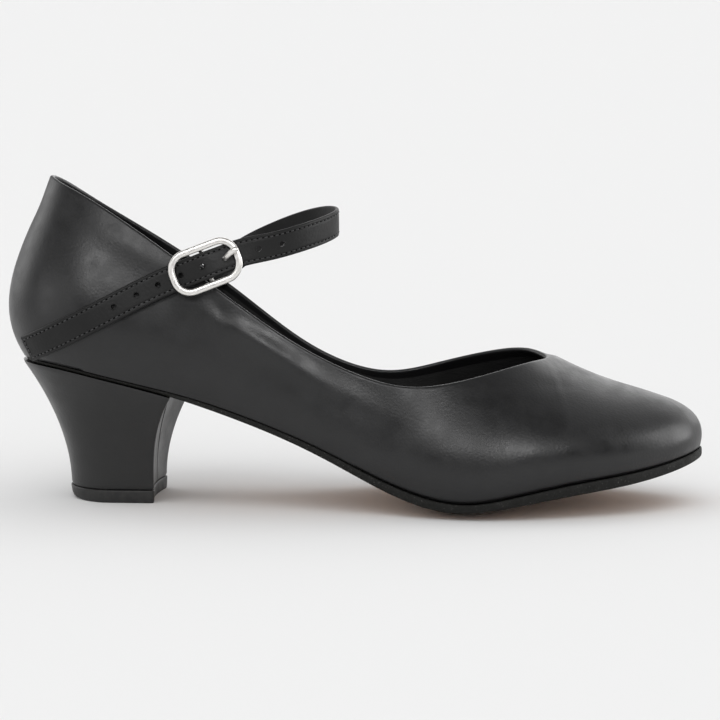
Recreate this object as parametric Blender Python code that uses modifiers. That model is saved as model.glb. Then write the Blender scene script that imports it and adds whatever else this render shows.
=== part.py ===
"""Character shoe: a low-cut pump with a covered heel and a buckled instep strap, for the right foot.

+X points to the toe, -Y to the outer side of the foot and +Z up. The origin is on the floor, under the middle
of the shoe. Sizes below are in millimetres. Lengths along the shoe are measured from the back of the heel,
and widths from the heel's centre line, with +Y to the inner side of the foot.
"""
import math

import bmesh
import bpy
import numpy as np
from mathutils import Matrix, Vector

MM = 0.001
MIDDLE_X = 124.6
MIDDLE_Y = 0.3
GAP = 0.3
WALL = 1.8
MARGIN_INSETS = (8.0, 3.6)
INSOLE_THICK = 2.0
INSOLE_CLEARANCE = 1.1
LIFT_HEIGHT = 4.7
STRAP_WIDTH = 9.8
STRAP_THICK = 1.5
STRAP_CHAMFER = 0.35
HOLE_DIAMETER = 2.6

# Rows around the foot. Row 0 is the middle of the heel's back and the last row is the tip of the toe.
THROAT = 9
POLE = 12
TIP = 13

# The feather line, where the upper meets the sole, along each side of the foot. Flare is the wall's outward
# slope there in degrees, and pull is how long it holds, as a share of the wall's height.
FOOT = ("x", "y", "flare", "pull")
OUTER_FOOT = (
    (4.4, 0.0, 32, 0.38),
    (11.5, -17.4, 30, 0.37),
    (28.0, -25.6, 27, 0.35),
    (51.0, -27.0, 25, 0.34),
    (78.0, -26.4, 20, 0.34),
    (106.0, -27.6, 16, 0.35),
    (134.0, -31.8, 21, 0.36),
    (160.0, -37.1, 34, 0.36),
    (182.0, -37.2, 38, 0.38),
    (203.0, -32.0, 36, 0.40),
    (221.0, -24.9, 33, 0.41),
    (235.6, -15.3, 28, 0.42),
    (245.0, -5.0, 22, 0.44),
    (249.1, 6.5, 15, 0.46),
)
INNER_FOOT = (
    (4.4, 0.0, 32, 0.38),
    (11.5, 17.2, 30, 0.37),
    (28.0, 25.0, 27, 0.35),
    (51.0, 25.8, 24, 0.34),
    (78.0, 23.3, 20, 0.34),
    (106.0, 21.9, 17, 0.35),
    (134.0, 27.9, 22, 0.36),
    (160.0, 36.0, 32, 0.36),
    (182.0, 38.8, 34, 0.38),
    (203.0, 35.0, 33, 0.40),
    (221.0, 28.8, 31, 0.41),
    (235.6, 21.2, 27, 0.42),
    (245.0, 13.8, 22, 0.44),
    (249.1, 6.5, 15, 0.46),
)

# The folded top edge, from the back of the heel to the point of the throat. Lean is the wall's inward slope.
COLLAR = ("x", "y", "z", "lean", "pull")
OUTER_COLLAR = (
    (14.9, 0.0, 117.1, 20, 0.39),
    (19.6, -9.8, 115.3, 19, 0.37),
    (32.0, -17.8, 109.9, 16, 0.32),
    (53.0, -23.8, 97.2, 13, 0.31),
    (79.0, -26.8, 79.0, 9, 0.31),
    (105.0, -26.4, 60.9, 8, 0.31),
    (131.0, -27.4, 48.6, 14, 0.31),
    (155.0, -30.4, 46.2, 24, 0.32),
    (181.5, -17.8, 51.7, 52, 0.38),
    (194.3, 2.5, 52.4, 72, 0.44),
)
INNER_COLLAR = (
    (14.9, 0.0, 117.1, 20, 0.39),
    (19.2, 9.8, 113.9, 19, 0.37),
    (30.5, 17.6, 105.6, 16, 0.32),
    (52.0, 23.0, 91.9, 12, 0.31),
    (79.0, 24.0, 73.6, 7, 0.31),
    (105.0, 22.4, 54.6, 6, 0.31),
    (131.0, 24.0, 44.3, 16, 0.31),
    (154.0, 28.6, 47.0, 27, 0.33),
    (181.5, 18.8, 53.9, 54, 0.38),
    (194.3, 2.5, 52.4, 95, 0.44),
)

# The line over the vamp from the throat to the pole near the toe. Cant is the rise to the inner side.
RIDGE = ("row", "x", "y", "z", "cant", "pull")
VAMP_RIDGE = (
    (9, 194.3, 2.5, 52.4, 12, 0.44),
    (10, 211.0, 5.2, 45.3, 8, 0.45),
    (11, 225.0, 6.6, 41.1, 5, 0.46),
    (12, 234.0, 6.8, 38.5, 2, 0.47),
)

# The bed of the shoe. Edge is the height of the sole's top at its edge, middle and spread are the centre and
# half width of its crown, thick is the sole's edge and sag is how far its middle hangs below its edge.
BED = ("x", "edge", "middle", "spread", "crown", "thick", "sag")
SOLE_BED = (
    (0.0, 52.6, 0.0, 24.0, 0.5, 1.2, 0.5),
    (18.0, 51.4, 0.0, 26.0, 0.5, 1.2, 0.5),
    (35.0, 48.1, 0.3, 27.0, 0.5, 1.2, 0.5),
    (52.0, 44.2, 0.0, 27.0, 0.5, 1.3, 0.5),
    (68.0, 40.2, -0.8, 26.5, 0.6, 1.7, 0.6),
    (84.0, 35.1, -2.0, 26.0, 0.7, 2.0, 0.7),
    (100.0, 29.2, -2.6, 26.0, 0.9, 2.2, 1.0),
    (116.0, 22.5, -2.2, 28.0, 1.3, 2.6, 1.5),
    (132.0, 15.0, -1.4, 31.5, 1.8, 3.0, 2.2),
    (146.0, 9.4, -0.8, 35.0, 2.3, 3.3, 3.7),
    (158.0, 6.3, -0.4, 37.5, 2.5, 3.2, 4.1),
    (169.0, 5.7, 0.0, 38.5, 2.5, 3.0, 4.2),
    (182.0, 7.8, 0.6, 38.5, 2.4, 3.3, 3.9),
    (200.0, 11.6, 1.2, 36.0, 2.2, 3.8, 2.8),
    (218.0, 14.4, 2.6, 32.0, 1.9, 3.9, 2.0),
    (235.0, 17.5, 4.6, 30.0, 1.5, 3.6, 1.6),
    (250.0, 21.2, 6.5, 28.0, 1.0, 3.3, 1.0),
)

# How far the sole's edge stands out from the feather line, by x.
SOLE_WELT = ((0.0, -0.7), (58.0, -0.7), (76.0, 0.1), (130.0, 0.5), (170.0, 0.9), (225.0, 0.7), (250.0, 0.2))
EDGE_ROUND = 0.5

# The covered heel and its lift: two D shapes, and how the walls curve between them.
BREAST_ROWS = (3.42, 3.5)
BREAST_HOLLOW_TOP = 4.5
BREAST_HOLLOW_BOTTOM = 1.6
LIFT_BACK = 21.2
LIFT_FRONT = 53.8
LIFT_RADIUS = 16.3
LIFT_CORNER_OUT = 15.8
HEEL_RIM = 0.5
BACK_CURVE = 1.87
BREAST_CURVES = (2.8, 2.0)
SIDE_CURVE = 1.9
HEEL_LEVELS = (0.0, 0.05, 0.12, 0.22, 0.35, 0.5, 0.68, 0.85, 1.0)
WALL_POINTS = 25
FRONT_POINTS = 7

# Levels of the lift: out is how far it stands out from the heel's foot, and worn is how far its back is
# rounded away there.
LIFT_LEVEL = ("out", "worn", "z")
LIFT_LEVELS = (
    (-0.6, 2.0, 0.0),
    (0.0, 0.7, 0.8),
    (0.2, 0.0, 4.2),
    (0.0, 0.0, LIFT_HEIGHT),
)

# The buckle: its place, its pitch along the strap, its turn to the foot and its lean to the ankle.
BUCKLE_CENTRE = (75.2, -31.3, 87.5)
BUCKLE_PITCH = 21.0
BUCKLE_TURN = 3.0
BUCKLE_LEAN = 8.0
BUCKLE_LENGTH = 26.2
BUCKLE_WIDTH = 16.2
BUCKLE_CORNER = 5.8
WIRE_RADIUS = 1.15
BAR_RADIUS = 0.8
BAR_DROP = 3.4
PRONG_RADIUS = 0.65
STRAP_RISE = 0.3

# The strap's middle line: its free end on the outer quarter, the buckle, the loop over the instep and the end
# sewn inside the inner quarter. On a quarter, lift is how far the strap's middle stands off its surface.
QUARTER_ROWS = (0.5, 6.5)
ON_QUARTER = ("x", "z", "lift")
STRAP_TAIL = (
    (10.6, 56.9, 1.5),
    (17.0, 59.8, 1.3),
    (27.0, 64.6, 1.3),
    (38.0, 70.2, 1.3),
    (48.5, 75.6, 1.5),
)
# Inside the buckle: the strap's middle by its length along the buckle and its height out of its plane.
STRAP_IN_BUCKLE = ((-12.4, -2.25), (-6.0, -1.3), (0.0, -0.35), (6.0, -1.3), (12.4, -2.25))
STRAP_LOOP = (
    (97.8, -25.6, 94.3),
    (107.2, -20.0, 96.6),
    (114.8, -11.4, 98.8),
    (118.5, -1.0, 100.6),
    (114.4, 9.4, 100.7),
    (104.4, 17.8, 98.0),
    (92.4, 22.8, 93.0),
    (81.0, 23.4, 86.9),
)
STRAP_SEWN = (
    (70.5, 78.2, -3.7),
    (63.0, 70.2, -3.3),
    (57.5, 61.5, -3.3),
)
# The loop's faces look away from a point this far behind its first row, on an oval of this squeeze.
LOOP_RADIUS = 32.0
LOOP_SQUEEZE = 0.6
# Punched holes, along the strap from the buckle's middle. The prong is in the one at PRONG_HOLE.
HOLES = (-35.6, -26.9, -18.2, -9.5, -0.8, 7.4, 19.5, 28.0)
PRONG_HOLE = 7.4

# The buckle's tab: it wraps the centre bar and lies on the outer quarter, under the strap.
TAB_WIDTH = 6.4
TAB_THICK = 0.9
TAB_SLOT = 2.6
TAB_END = (64.0, 83.5)

COLLECTION = "character_shoe"
CUTTERS = "cutters"
NUDGE = 0.01
COLUMNS_A_ROW = 3
WALL_STEPS = 11
PLATE_STEP = 1 / 3
STRAP_SECTIONS = 76
STRAP_STATIONS = 1200


def spline(keys, values, at, period=None):
    """Cubic spline through the rows of a table, natural at its ends or closed over a period."""
    keys = np.asarray(keys, float)
    values = np.asarray(values, float).reshape(len(keys), -1)
    count = len(keys)
    if period:
        wraps = 3
        keys = np.concatenate([keys[-wraps - 1:-1] - period, keys, keys[1:wraps + 1] + period])
        values = np.concatenate([values[-wraps - 1:-1], values, values[1:wraps + 1]])
        count = len(keys)
    step = np.diff(keys)
    rise = np.diff(values, axis=0) / step[:, None]
    system = np.eye(count)
    right = np.zeros_like(values)
    for i in range(1, count - 1):
        system[i, i - 1:i + 2] = step[i - 1], 2 * (step[i - 1] + step[i]), step[i]
        right[i] = 6 * (rise[i] - rise[i - 1])
    bend = np.linalg.solve(system, right)
    at = np.asarray(at, float)
    cell = np.clip(np.searchsorted(keys, at, side="right") - 1, 0, count - 2)
    width = step[cell][..., None]
    near = at[..., None] - keys[cell][..., None]
    far = width - near
    return ((bend[cell] * far ** 3 + bend[cell + 1] * near ** 3) / (6 * width)
            + (values[cell] / width - bend[cell] * width / 6) * far
            + (values[cell + 1] / width - bend[cell + 1] * width / 6) * near)


def named(columns, values):
    """The values of a table's row, or of many rows, by the names of their columns."""
    return dict(zip(columns, np.moveaxis(np.asarray(values), -1, 0)))


def both_sides(outer, inner):
    """Rows around the whole shoe, with the outer side at negative row numbers."""
    return np.array(outer[:0:-1] + inner, float)


def foot_at(row):
    """The feather line at a row number from -TIP to TIP."""
    keys = np.arange(-TIP, TIP + 1)
    return named(FOOT, spline(keys, both_sides(OUTER_FOOT, INNER_FOOT), row, period=2 * TIP))


def foot_place(row):
    foot = foot_at(row)
    return np.array([foot["x"], foot["y"]])


def foot_normal(row):
    """Outward plan direction of the feather line."""
    run = foot_place(row + NUDGE) - foot_place(row - NUDGE)
    run /= np.linalg.norm(run)
    return np.array([-run[1], run[0]])


def bed_at(x):
    """The sole's section at a length along the shoe."""
    table = np.array(SOLE_BED)
    return named(BED, spline(table[:, 0], table, x))


def bed_top(x, y):
    """Height of the sole's top face."""
    bed = bed_at(x)
    return bed["edge"] - bed["crown"] * (1 - ((y - bed["middle"]) / bed["spread"]) ** 2)


def bed_bottom(x, y):
    """Height of the sole's underside, flat where the forepart stands on the floor."""
    bed = bed_at(x)
    hang = bed["sag"] * (1 - ((y - bed["middle"]) / bed["spread"]) ** 2)
    return np.maximum(bed["edge"] - bed["thick"] - hang, 0.0)


def collar_at(row):
    """The top edge at a row number from -THROAT to THROAT."""
    keys = np.arange(-THROAT, THROAT + 1)
    return named(COLLAR, spline(keys, both_sides(OUTER_COLLAR, INNER_COLLAR), row))


def ridge_at(row):
    """The line over the vamp at a row number from THROAT to POLE."""
    table = np.array(VAMP_RIDGE)
    return named(RIDGE, spline(table[:, 0], table, row))


def point_of(row):
    return np.array([row["x"], row["y"], row["z"]])


def top_end(row):
    """Upper end of the wall's curve at one row: the point, its direction there and its pull."""
    outward = foot_normal(row)
    if abs(row) < THROAT:
        top = collar_at(row)
        slope = math.tan(math.radians(90 - top["lean"]))
    else:
        place = min(abs(row), POLE)
        top = ridge_at(place)
        run = point_of(ridge_at(min(place + NUDGE, POLE))) - point_of(ridge_at(max(place - NUDGE, THROAT)))
        across = math.tan(math.radians(top["cant"]))
        along = (run[2] - across * run[1]) / run[0]
        slope = -outward[0] * along - outward[1] * across
    direction = np.array([-outward[0], -outward[1], slope])
    return point_of(top), direction / np.linalg.norm(direction), top["pull"]


def wall_curve(row, shares):
    """Points on the last's surface from the feather line up to the top edge or the vamp's ridge."""
    feather = foot_at(row)
    outward = foot_normal(row)
    foot = np.array([feather["x"], feather["y"], bed_top(feather["x"], feather["y"]) + GAP])
    flare = math.radians(feather["flare"])
    rise = np.array([outward[0] * math.sin(flare), outward[1] * math.sin(flare), math.cos(flare)])
    top, direction, high_pull = top_end(row)
    height = np.linalg.norm(top - foot)
    low = foot + rise * height * feather["pull"]
    high = top - direction * height * high_pull
    t = np.asarray(shares, float)[:, None]
    return ((1 - t) ** 3 * foot + 3 * (1 - t) ** 2 * t * low
            + 3 * (1 - t) * t ** 2 * high + t ** 3 * top)


def margin_points(row, insets):
    """Points of the lasting margin, turned in under the foot on the sole's top."""
    points = []
    for inset in insets:
        x, y = foot_place(row) - foot_normal(row) * inset
        points.append((x, y, bed_top(x, y) + GAP))
    return np.array(points)


def collection(name):
    made = bpy.data.collections.new(name)
    bpy.context.scene.collection.children.link(made)
    return made


def material(name, colour, roughness, metallic=0.0):
    made = bpy.data.materials.new(name)
    made.use_nodes = True
    shader = made.node_tree.nodes["Principled BSDF"]
    shader.inputs["Base Color"].default_value = (*colour, 1)
    shader.inputs["Roughness"].default_value = roughness
    shader.inputs["Metallic"].default_value = metallic
    return made


def to_part(point):
    """From shoemaker's millimetres to the part's frame in metres."""
    return Vector(((point[0] - MIDDLE_X) * MM, (point[1] - MIDDLE_Y) * MM, point[2] * MM))


def finish_mesh(name, mesh, group, finish, merge=0.00002, smooth=40):
    """Weld a bmesh, turn its faces outward and put it in the scene as one named object."""
    bmesh.ops.remove_doubles(mesh, verts=mesh.verts, dist=merge)
    bmesh.ops.dissolve_degenerate(mesh, edges=mesh.edges, dist=merge / 10)
    bmesh.ops.recalc_face_normals(mesh, faces=mesh.faces)
    data = bpy.data.meshes.new(name)
    mesh.to_mesh(data)
    mesh.free()
    data.shade_smooth()
    data.set_sharp_from_angle(angle=math.radians(smooth))
    data.materials.append(finish)
    made = bpy.data.objects.new(name, data)
    group.objects.link(made)
    return made


def add_grid(mesh, rows, closed=False):
    """Quads between neighbouring rows of points. Closed joins the last point of a row to its first."""
    verts = [[mesh.verts.new(to_part(point)) for point in row] for row in rows]
    width = len(verts[0])
    for i in range(len(verts) - 1):
        for j in range(width if closed else width - 1):
            k = (j + 1) % width
            mesh.faces.new((verts[i][j], verts[i][k], verts[i + 1][k], verts[i + 1][j]))
    return verts


def make_upper(group, finish):
    """The upper: one open surface over the last, thickened inward to the leather's wall."""
    mesh = bmesh.new()
    rows = np.linspace(-TIP, TIP, 2 * TIP * COLUMNS_A_ROW + 1)
    shares = np.linspace(0, 1, WALL_STEPS + 1)
    sections = []
    for row in rows:
        margin = margin_points(row, MARGIN_INSETS)
        sections.append(np.concatenate([margin, wall_curve(row, shares)]))
    add_grid(mesh, sections)
    upper = finish_mesh("upper", mesh, group, finish)
    wall = upper.modifiers.new("wall", "SOLIDIFY")
    wall.thickness = WALL * MM
    wall.offset = -1
    wall.use_even_offset = True
    return upper


def plate_rows(reach, lower, upper, bulge, lines):
    """Closed sections across a thin plate on the bed, its edge out from the feather line by its reach."""
    sections = []
    for row in np.linspace(0, TIP, round(TIP / PLATE_STEP) + 1):
        ends = []
        for side in (-1, 1):
            place = foot_place(side * row)
            outward = foot_normal(side * row)
            ends.append((place + outward * reach(place[0]), outward))
        (left, left_out), (right, right_out) = ends
        across = [left + (right - left) * share for share in np.linspace(0, 1, lines)]
        top = [(x, y, upper(x, y)) for x, y in across]
        bottom = [(x, y, lower(x, y)) for x, y in across]
        middle = []
        for place, outward, i in ((right, right_out, -1), (left, left_out, 0)):
            half = (top[i][2] + bottom[i][2]) / 2
            middle.append((place[0] + outward[0] * bulge, place[1] + outward[1] * bulge, half))
        sections.append(top + [middle[0]] + bottom[::-1] + [middle[1]])
    return sections


def add_plate(name, sections, group, finish):
    mesh = bmesh.new()
    add_grid(mesh, sections, closed=True)
    return finish_mesh(name, mesh, group, finish)


def make_outsole(group, finish):
    """Outsole from the seat to the toe. Its edge is rounded and its forepart has a flat spot."""
    welt = np.array(SOLE_WELT)

    def reach(x):
        return float(np.interp(x, welt[:, 0], welt[:, 1]))

    sections = plate_rows(reach, bed_bottom, bed_top, EDGE_ROUND, 9)
    return add_plate("outsole", sections, group, finish)


def make_insole(group, finish):
    """Insole on the lasting margin, clear of the walls."""
    def under(x, y):
        return bed_top(x, y) + GAP + WALL + GAP

    def over(x, y):
        return under(x, y) + INSOLE_THICK

    def reach(_):
        return -(WALL + INSOLE_CLEARANCE)

    return add_plate("insole", plate_rows(reach, under, over, 0.0, 7), group, finish)


def lift_outline(count):
    """Outer corner of the lift, around its back, to its inner corner, by equal steps."""
    turn = LIFT_BACK + LIFT_RADIUS
    path = [np.array([LIFT_FRONT, -LIFT_CORNER_OUT])]
    for angle in np.linspace(-90, 90, 41):
        a = math.radians(angle)
        path.append(np.array([turn - LIFT_RADIUS * math.cos(a), LIFT_RADIUS * math.sin(a)]))
    path.append(np.array([LIFT_FRONT, LIFT_CORNER_OUT]))
    return resample(path, count)


def seat_outline(count):
    """Rim of the heel's seat from the outer breast corner, around the back, to the inner one."""
    path = []
    outer, inner = BREAST_ROWS
    for row in np.linspace(-outer, inner, 81):
        path.append(foot_place(row) + foot_normal(row) * HEEL_RIM)
    return resample(path, count)


def resample(path, count):
    path = np.array(path)
    length = np.concatenate([[0], np.cumsum(np.linalg.norm(np.diff(path, axis=0), axis=1))])
    at = np.linspace(0, length[-1], count)
    return np.stack([np.interp(at, length, path[:, k]) for k in range(path.shape[1])], axis=1)


def hollow_line(first, last, depth, count):
    """The concave front between two corners, without its end points."""
    points = []
    for share in np.linspace(0, 1, count + 2)[1:-1]:
        x, y = first + (last - first) * share
        points.append(np.array([x - depth * math.sin(math.pi * share), y]))
    return np.array(points)


def heel_loop(height):
    """One level of the heel's wall. Height runs from 0 at the seat to 1 at the lift."""
    seat = seat_outline(WALL_POINTS)
    seat = np.concatenate([seat, hollow_line(seat[-1], seat[0], BREAST_HOLLOW_TOP, FRONT_POINTS)])
    lift = lift_outline(WALL_POINTS)
    lift = np.concatenate([lift, hollow_line(lift[-1], lift[0], BREAST_HOLLOW_BOTTOM, FRONT_POINTS)])
    points = []
    for i, (high, low) in enumerate(zip(seat, lift)):
        outer, inner = BREAST_CURVES
        if i < WALL_POINTS:
            round_the_back = 2 * i / (WALL_POINTS - 1) - 1
            corner = outer if round_the_back < 0 else inner
            curve = BACK_CURVE + (corner - BACK_CURVE) * round_the_back ** 2
        else:
            curve = inner + (outer - inner) * (i - WALL_POINTS + 1) / (FRONT_POINTS + 1)
        x = high[0] + (low[0] - high[0]) * (1 - (1 - height) ** curve)
        y = high[1] + (low[1] - high[1]) * (1 - (1 - height) ** SIDE_CURVE)
        seat_z = float(bed_bottom(high[0], high[1])) - GAP
        z = seat_z + (LIFT_HEIGHT + GAP - seat_z) * height
        points.append((x, y, z))
    return points


def cap_rings(loop, height_at, shares):
    """Rings from a loop to its middle, on a surface given by its height."""
    centre = np.mean(np.array(loop)[:, :2], axis=0)
    rings = []
    for share in shares:
        ring = []
        for x, y, _ in loop:
            px = x + (centre[0] - x) * share
            py = y + (centre[1] - y) * share
            ring.append((px, py, height_at(px, py)))
        rings.append(ring)
    return rings


def make_heel(group, finish):
    """Covered heel: a D-shaped block from the seat down to the lift, its top shaped to the sole."""
    levels = [heel_loop(height) for height in HEEL_LEVELS]

    def seat(x, y):
        return float(bed_bottom(x, y)) - GAP

    def foot(_x, _y):
        return LIFT_HEIGHT + GAP

    top = cap_rings(levels[0], seat, (1.0, 0.5))
    bottom = cap_rings(levels[-1], foot, (1.0,))
    mesh = bmesh.new()
    add_grid(mesh, top + levels + bottom, closed=True)
    return finish_mesh("heel", mesh, group, finish)


def make_top_lift(group, finish):
    """Wear piece under the heel: a flat D with a rounded edge above the floor."""
    flat = np.array(heel_loop(1.0))
    centre = flat[:, :2].mean(axis=0)
    levels = []
    for values in LIFT_LEVELS:
        level = named(LIFT_LEVEL, values)
        loop = []
        for x, y, _ in flat:
            away = np.array([x, y]) - centre
            away /= np.linalg.norm(away)
            reach = level["out"] - level["worn"] * max(0.0, -away[0]) ** 2
            loop.append((x + away[0] * reach, y + away[1] * reach, level["z"]))
        levels.append(loop)
    mesh = bmesh.new()
    rings = add_grid(mesh, levels, closed=True)
    mesh.faces.new(rings[0])
    mesh.faces.new(rings[-1])
    return finish_mesh("top_lift", mesh, group, finish)


def buckle_axes():
    """The buckle's own directions: along the strap, out of its plane, and across the strap."""
    turn = Matrix.Rotation(math.radians(BUCKLE_TURN), 3, "Z")
    pitch = Matrix.Rotation(math.radians(-BUCKLE_PITCH), 3, "Y")
    lean = Matrix.Rotation(math.radians(-BUCKLE_LEAN), 3, "X")
    spin = turn @ pitch @ lean
    return [np.array(spin @ Vector(axis)) for axis in ((1, 0, 0), (0, -1, 0), (0, 0, 1))]


def in_buckle(along, out, across):
    """A point from the buckle's own sizes."""
    a, o, c = buckle_axes()
    return np.array(BUCKLE_CENTRE) + a * along + o * out + c * across


def quarter_point(side, x, z):
    """Nearest place on one quarter's outer surface, seen from the side, and its outward normal."""
    rows = np.linspace(*QUARTER_ROWS, 61) * side
    shares = np.linspace(0, 1, 61)
    grid = np.array([wall_curve(row, shares) for row in rows])
    miss = (grid[..., 0] - x) ** 2 + (grid[..., 2] - z) ** 2
    i, j = np.unravel_index(np.argmin(miss), miss.shape)
    row, share = rows[i], shares[j]
    for _ in range(6):
        here = wall_curve(row, [share])[0]
        by_row = (wall_curve(row + NUDGE, [share])[0] - here) / NUDGE
        by_share = (wall_curve(row, [share + NUDGE])[0] - here) / NUDGE
        system = np.array([[by_row[0], by_share[0]], [by_row[2], by_share[2]]])
        change = np.linalg.solve(system, np.array([x - here[0], z - here[2]]))
        row, share = row + change[0], share + change[1]
    normal = np.cross(by_row, by_share)
    normal /= np.linalg.norm(normal)
    if normal[1] * side < 0:
        normal = -normal
    return here, normal


def on_quarter(side, rows):
    """Strap points and their outward directions on a quarter."""
    made = []
    for values in rows:
        row = named(ON_QUARTER, values)
        place, normal = quarter_point(side, row["x"], row["z"])
        made.append((place + normal * row["lift"], normal))
    return made


def strap_rows():
    """The strap's middle line with its outward direction, from the free end to the sewn end."""
    _, out, _ = buckle_axes()
    rows = on_quarter(-1, STRAP_TAIL)
    for along, height in STRAP_IN_BUCKLE:
        rows.append((in_buckle(along, height, STRAP_RISE), out))
    middle = np.array([STRAP_LOOP[0][0] - LOOP_RADIUS, 0.0])
    for x, y, z in STRAP_LOOP:
        away = np.array([x, y]) - middle
        away = np.array([away[0] * LOOP_SQUEEZE, away[1]])
        rows.append((np.array([x, y, z]), np.array([*(away / np.linalg.norm(away)), 0.0])))
    rows += on_quarter(1, STRAP_SEWN)
    return rows


def strap_line(count):
    """Even stations along the strap: place, direction, outward and across, and length from the buckle."""
    rows = strap_rows()
    places = np.array([row[0] for row in rows])
    outs = np.array([row[1] for row in rows])
    keys = np.concatenate([[0], np.cumsum(np.linalg.norm(np.diff(places, axis=0), axis=1))])
    at = np.linspace(0, keys[-1], count)
    place = spline(keys, places, at)
    run = spline(keys, places, at + NUDGE) - spline(keys, places, at - NUDGE)
    run /= np.linalg.norm(run, axis=1, keepdims=True)
    out = spline(keys, outs, at)
    out -= run * np.sum(out * run, axis=1, keepdims=True)
    out /= np.linalg.norm(out, axis=1, keepdims=True)
    across = np.cross(out, run)
    return place, run, out, across, at - keys[len(STRAP_TAIL) + 2]


def strap_station(length):
    """Place, direction, outward and across at one length from the buckle's middle."""
    place, run, out, across, lengths = strap_line(STRAP_STATIONS)
    i = int(np.argmin(np.abs(lengths - length)))
    return place[i], run[i], out[i], across[i]


def make_strap(group, cutters, finish):
    """The strap: a flat band with punched holes."""
    place, _, out, across, _ = strap_line(STRAP_SECTIONS)
    half = STRAP_WIDTH / 2
    thick = STRAP_THICK / 2
    soft = STRAP_CHAMFER
    section = ((-half, soft - thick), (-half, thick - soft), (soft - half, thick), (half - soft, thick),
               (half, thick - soft), (half, soft - thick), (half - soft, -thick), (soft - half, -thick))
    rings = []
    for p, o, a in zip(place, out, across):
        rings.append([p + a * wide + o * deep for wide, deep in section])
    mesh = bmesh.new()
    verts = add_grid(mesh, rings, closed=True)
    mesh.faces.new(verts[0])
    mesh.faces.new(verts[-1])
    strap = finish_mesh("strap", mesh, group, finish)

    punches = bmesh.new()
    for length in HOLES:
        p, r, o, a = strap_station(length)
        turn = Matrix([[r[k], a[k], o[k]] for k in range(3)]).to_4x4()
        turn.translation = to_part(p)
        bmesh.ops.create_cone(punches, cap_ends=True, segments=8, radius1=HOLE_DIAMETER / 2 * MM,
                              radius2=HOLE_DIAMETER / 2 * MM, depth=4 * STRAP_THICK * MM, matrix=turn)
    cutter = finish_mesh("strap_punches", punches, cutters, finish)
    cutter.hide_render = True
    cutter.display_type = "WIRE"
    cut = strap.modifiers.new("holes", "BOOLEAN")
    cut.operation = "DIFFERENCE"
    cut.object = cutter
    return strap


def wire_mesh(name, points, radius, cyclic, sides=2):
    """A round wire along points in the buckle's own sizes, as a mesh with welded caps."""
    curve = bpy.data.curves.new(name, "CURVE")
    curve.dimensions = "3D"
    curve.bevel_depth = radius * MM
    curve.bevel_resolution = sides
    curve.use_fill_caps = True
    line = curve.splines.new("POLY")
    line.points.add(len(points) - 1)
    for spot, point in zip(line.points, points):
        spot.co = (*to_part(in_buckle(*point)), 1)
    line.use_cyclic_u = cyclic
    holder = bpy.data.objects.new(name, curve)
    bpy.context.scene.collection.objects.link(holder)
    bpy.context.view_layer.update()
    data = bpy.data.meshes.new_from_object(holder.evaluated_get(bpy.context.evaluated_depsgraph_get()))
    bpy.data.objects.remove(holder)
    mesh = bmesh.new()
    mesh.from_mesh(data)
    bpy.data.meshes.remove(data)
    return mesh


def frame_outline():
    """Middle of the frame's wire: a rectangle with round corners."""
    wide = BUCKLE_LENGTH / 2 - WIRE_RADIUS
    tall = BUCKLE_WIDTH / 2 - WIRE_RADIUS
    points = []
    for quarter in range(4):
        sx = 1 if quarter in (0, 3) else -1
        sy = 1 if quarter in (0, 1) else -1
        for angle in np.linspace(0, 90, 6) + 90 * quarter:
            a = math.radians(angle)
            points.append((sx * (wide - BUCKLE_CORNER) + BUCKLE_CORNER * math.cos(a), 0.0,
                           sy * (tall - BUCKLE_CORNER) + BUCKLE_CORNER * math.sin(a)))
    return points


def make_buckle_frame(group, cutters, finish):
    """Frame and its centre bar, which drops behind the strap, as one piece."""
    ring = wire_mesh("ring", frame_outline(), WIRE_RADIUS, True)
    frame = finish_mesh("buckle_frame", ring, group, finish)
    tall = BUCKLE_WIDTH / 2 - WIRE_RADIUS
    side = STRAP_WIDTH / 2 + STRAP_RISE + BAR_RADIUS
    path = [(0, -0.3, tall), (0, -BAR_DROP + 0.5, side + 0.3), (0, -BAR_DROP, side - 0.4),
            (0, -BAR_DROP, 0.4 - side), (0, -BAR_DROP + 0.5, -side - 0.3), (0, -0.3, -tall)]
    bar = finish_mesh("centre_bar", wire_mesh("bar", path, BAR_RADIUS, False), cutters, finish)
    bar.hide_render = True
    bar.display_type = "WIRE"
    join = frame.modifiers.new("bar", "BOOLEAN")
    join.operation = "UNION"
    join.object = bar
    return frame


def make_buckle_prong(group, finish):
    """Prong: up through the strap's hole and over the strap to the frame's front bar."""
    front = BUCKLE_LENGTH / 2 - WIRE_RADIUS
    over = WIRE_RADIUS + PRONG_RADIUS + GAP
    start = BAR_RADIUS + PRONG_RADIUS + GAP
    points = [(start, -BAR_DROP, STRAP_RISE),
              (PRONG_HOLE - 2.6, -BAR_DROP - 0.2, STRAP_RISE),
              (PRONG_HOLE - 0.8, -BAR_DROP - 0.1, STRAP_RISE),
              (PRONG_HOLE - 0.1, -BAR_DROP + 0.5, STRAP_RISE),
              (PRONG_HOLE, -1.6, STRAP_RISE),
              (PRONG_HOLE + 0.3, -0.4, STRAP_RISE + 0.1),
              (PRONG_HOLE + 1.6, over - 1.1, STRAP_RISE + 0.5),
              (front - 0.6, over, STRAP_RISE + 1.3),
              (front + 1.4, over - 0.1, STRAP_RISE + 1.6)]
    return finish_mesh("buckle_prong", wire_mesh("prong", points, PRONG_RADIUS, False), group, finish)


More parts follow.
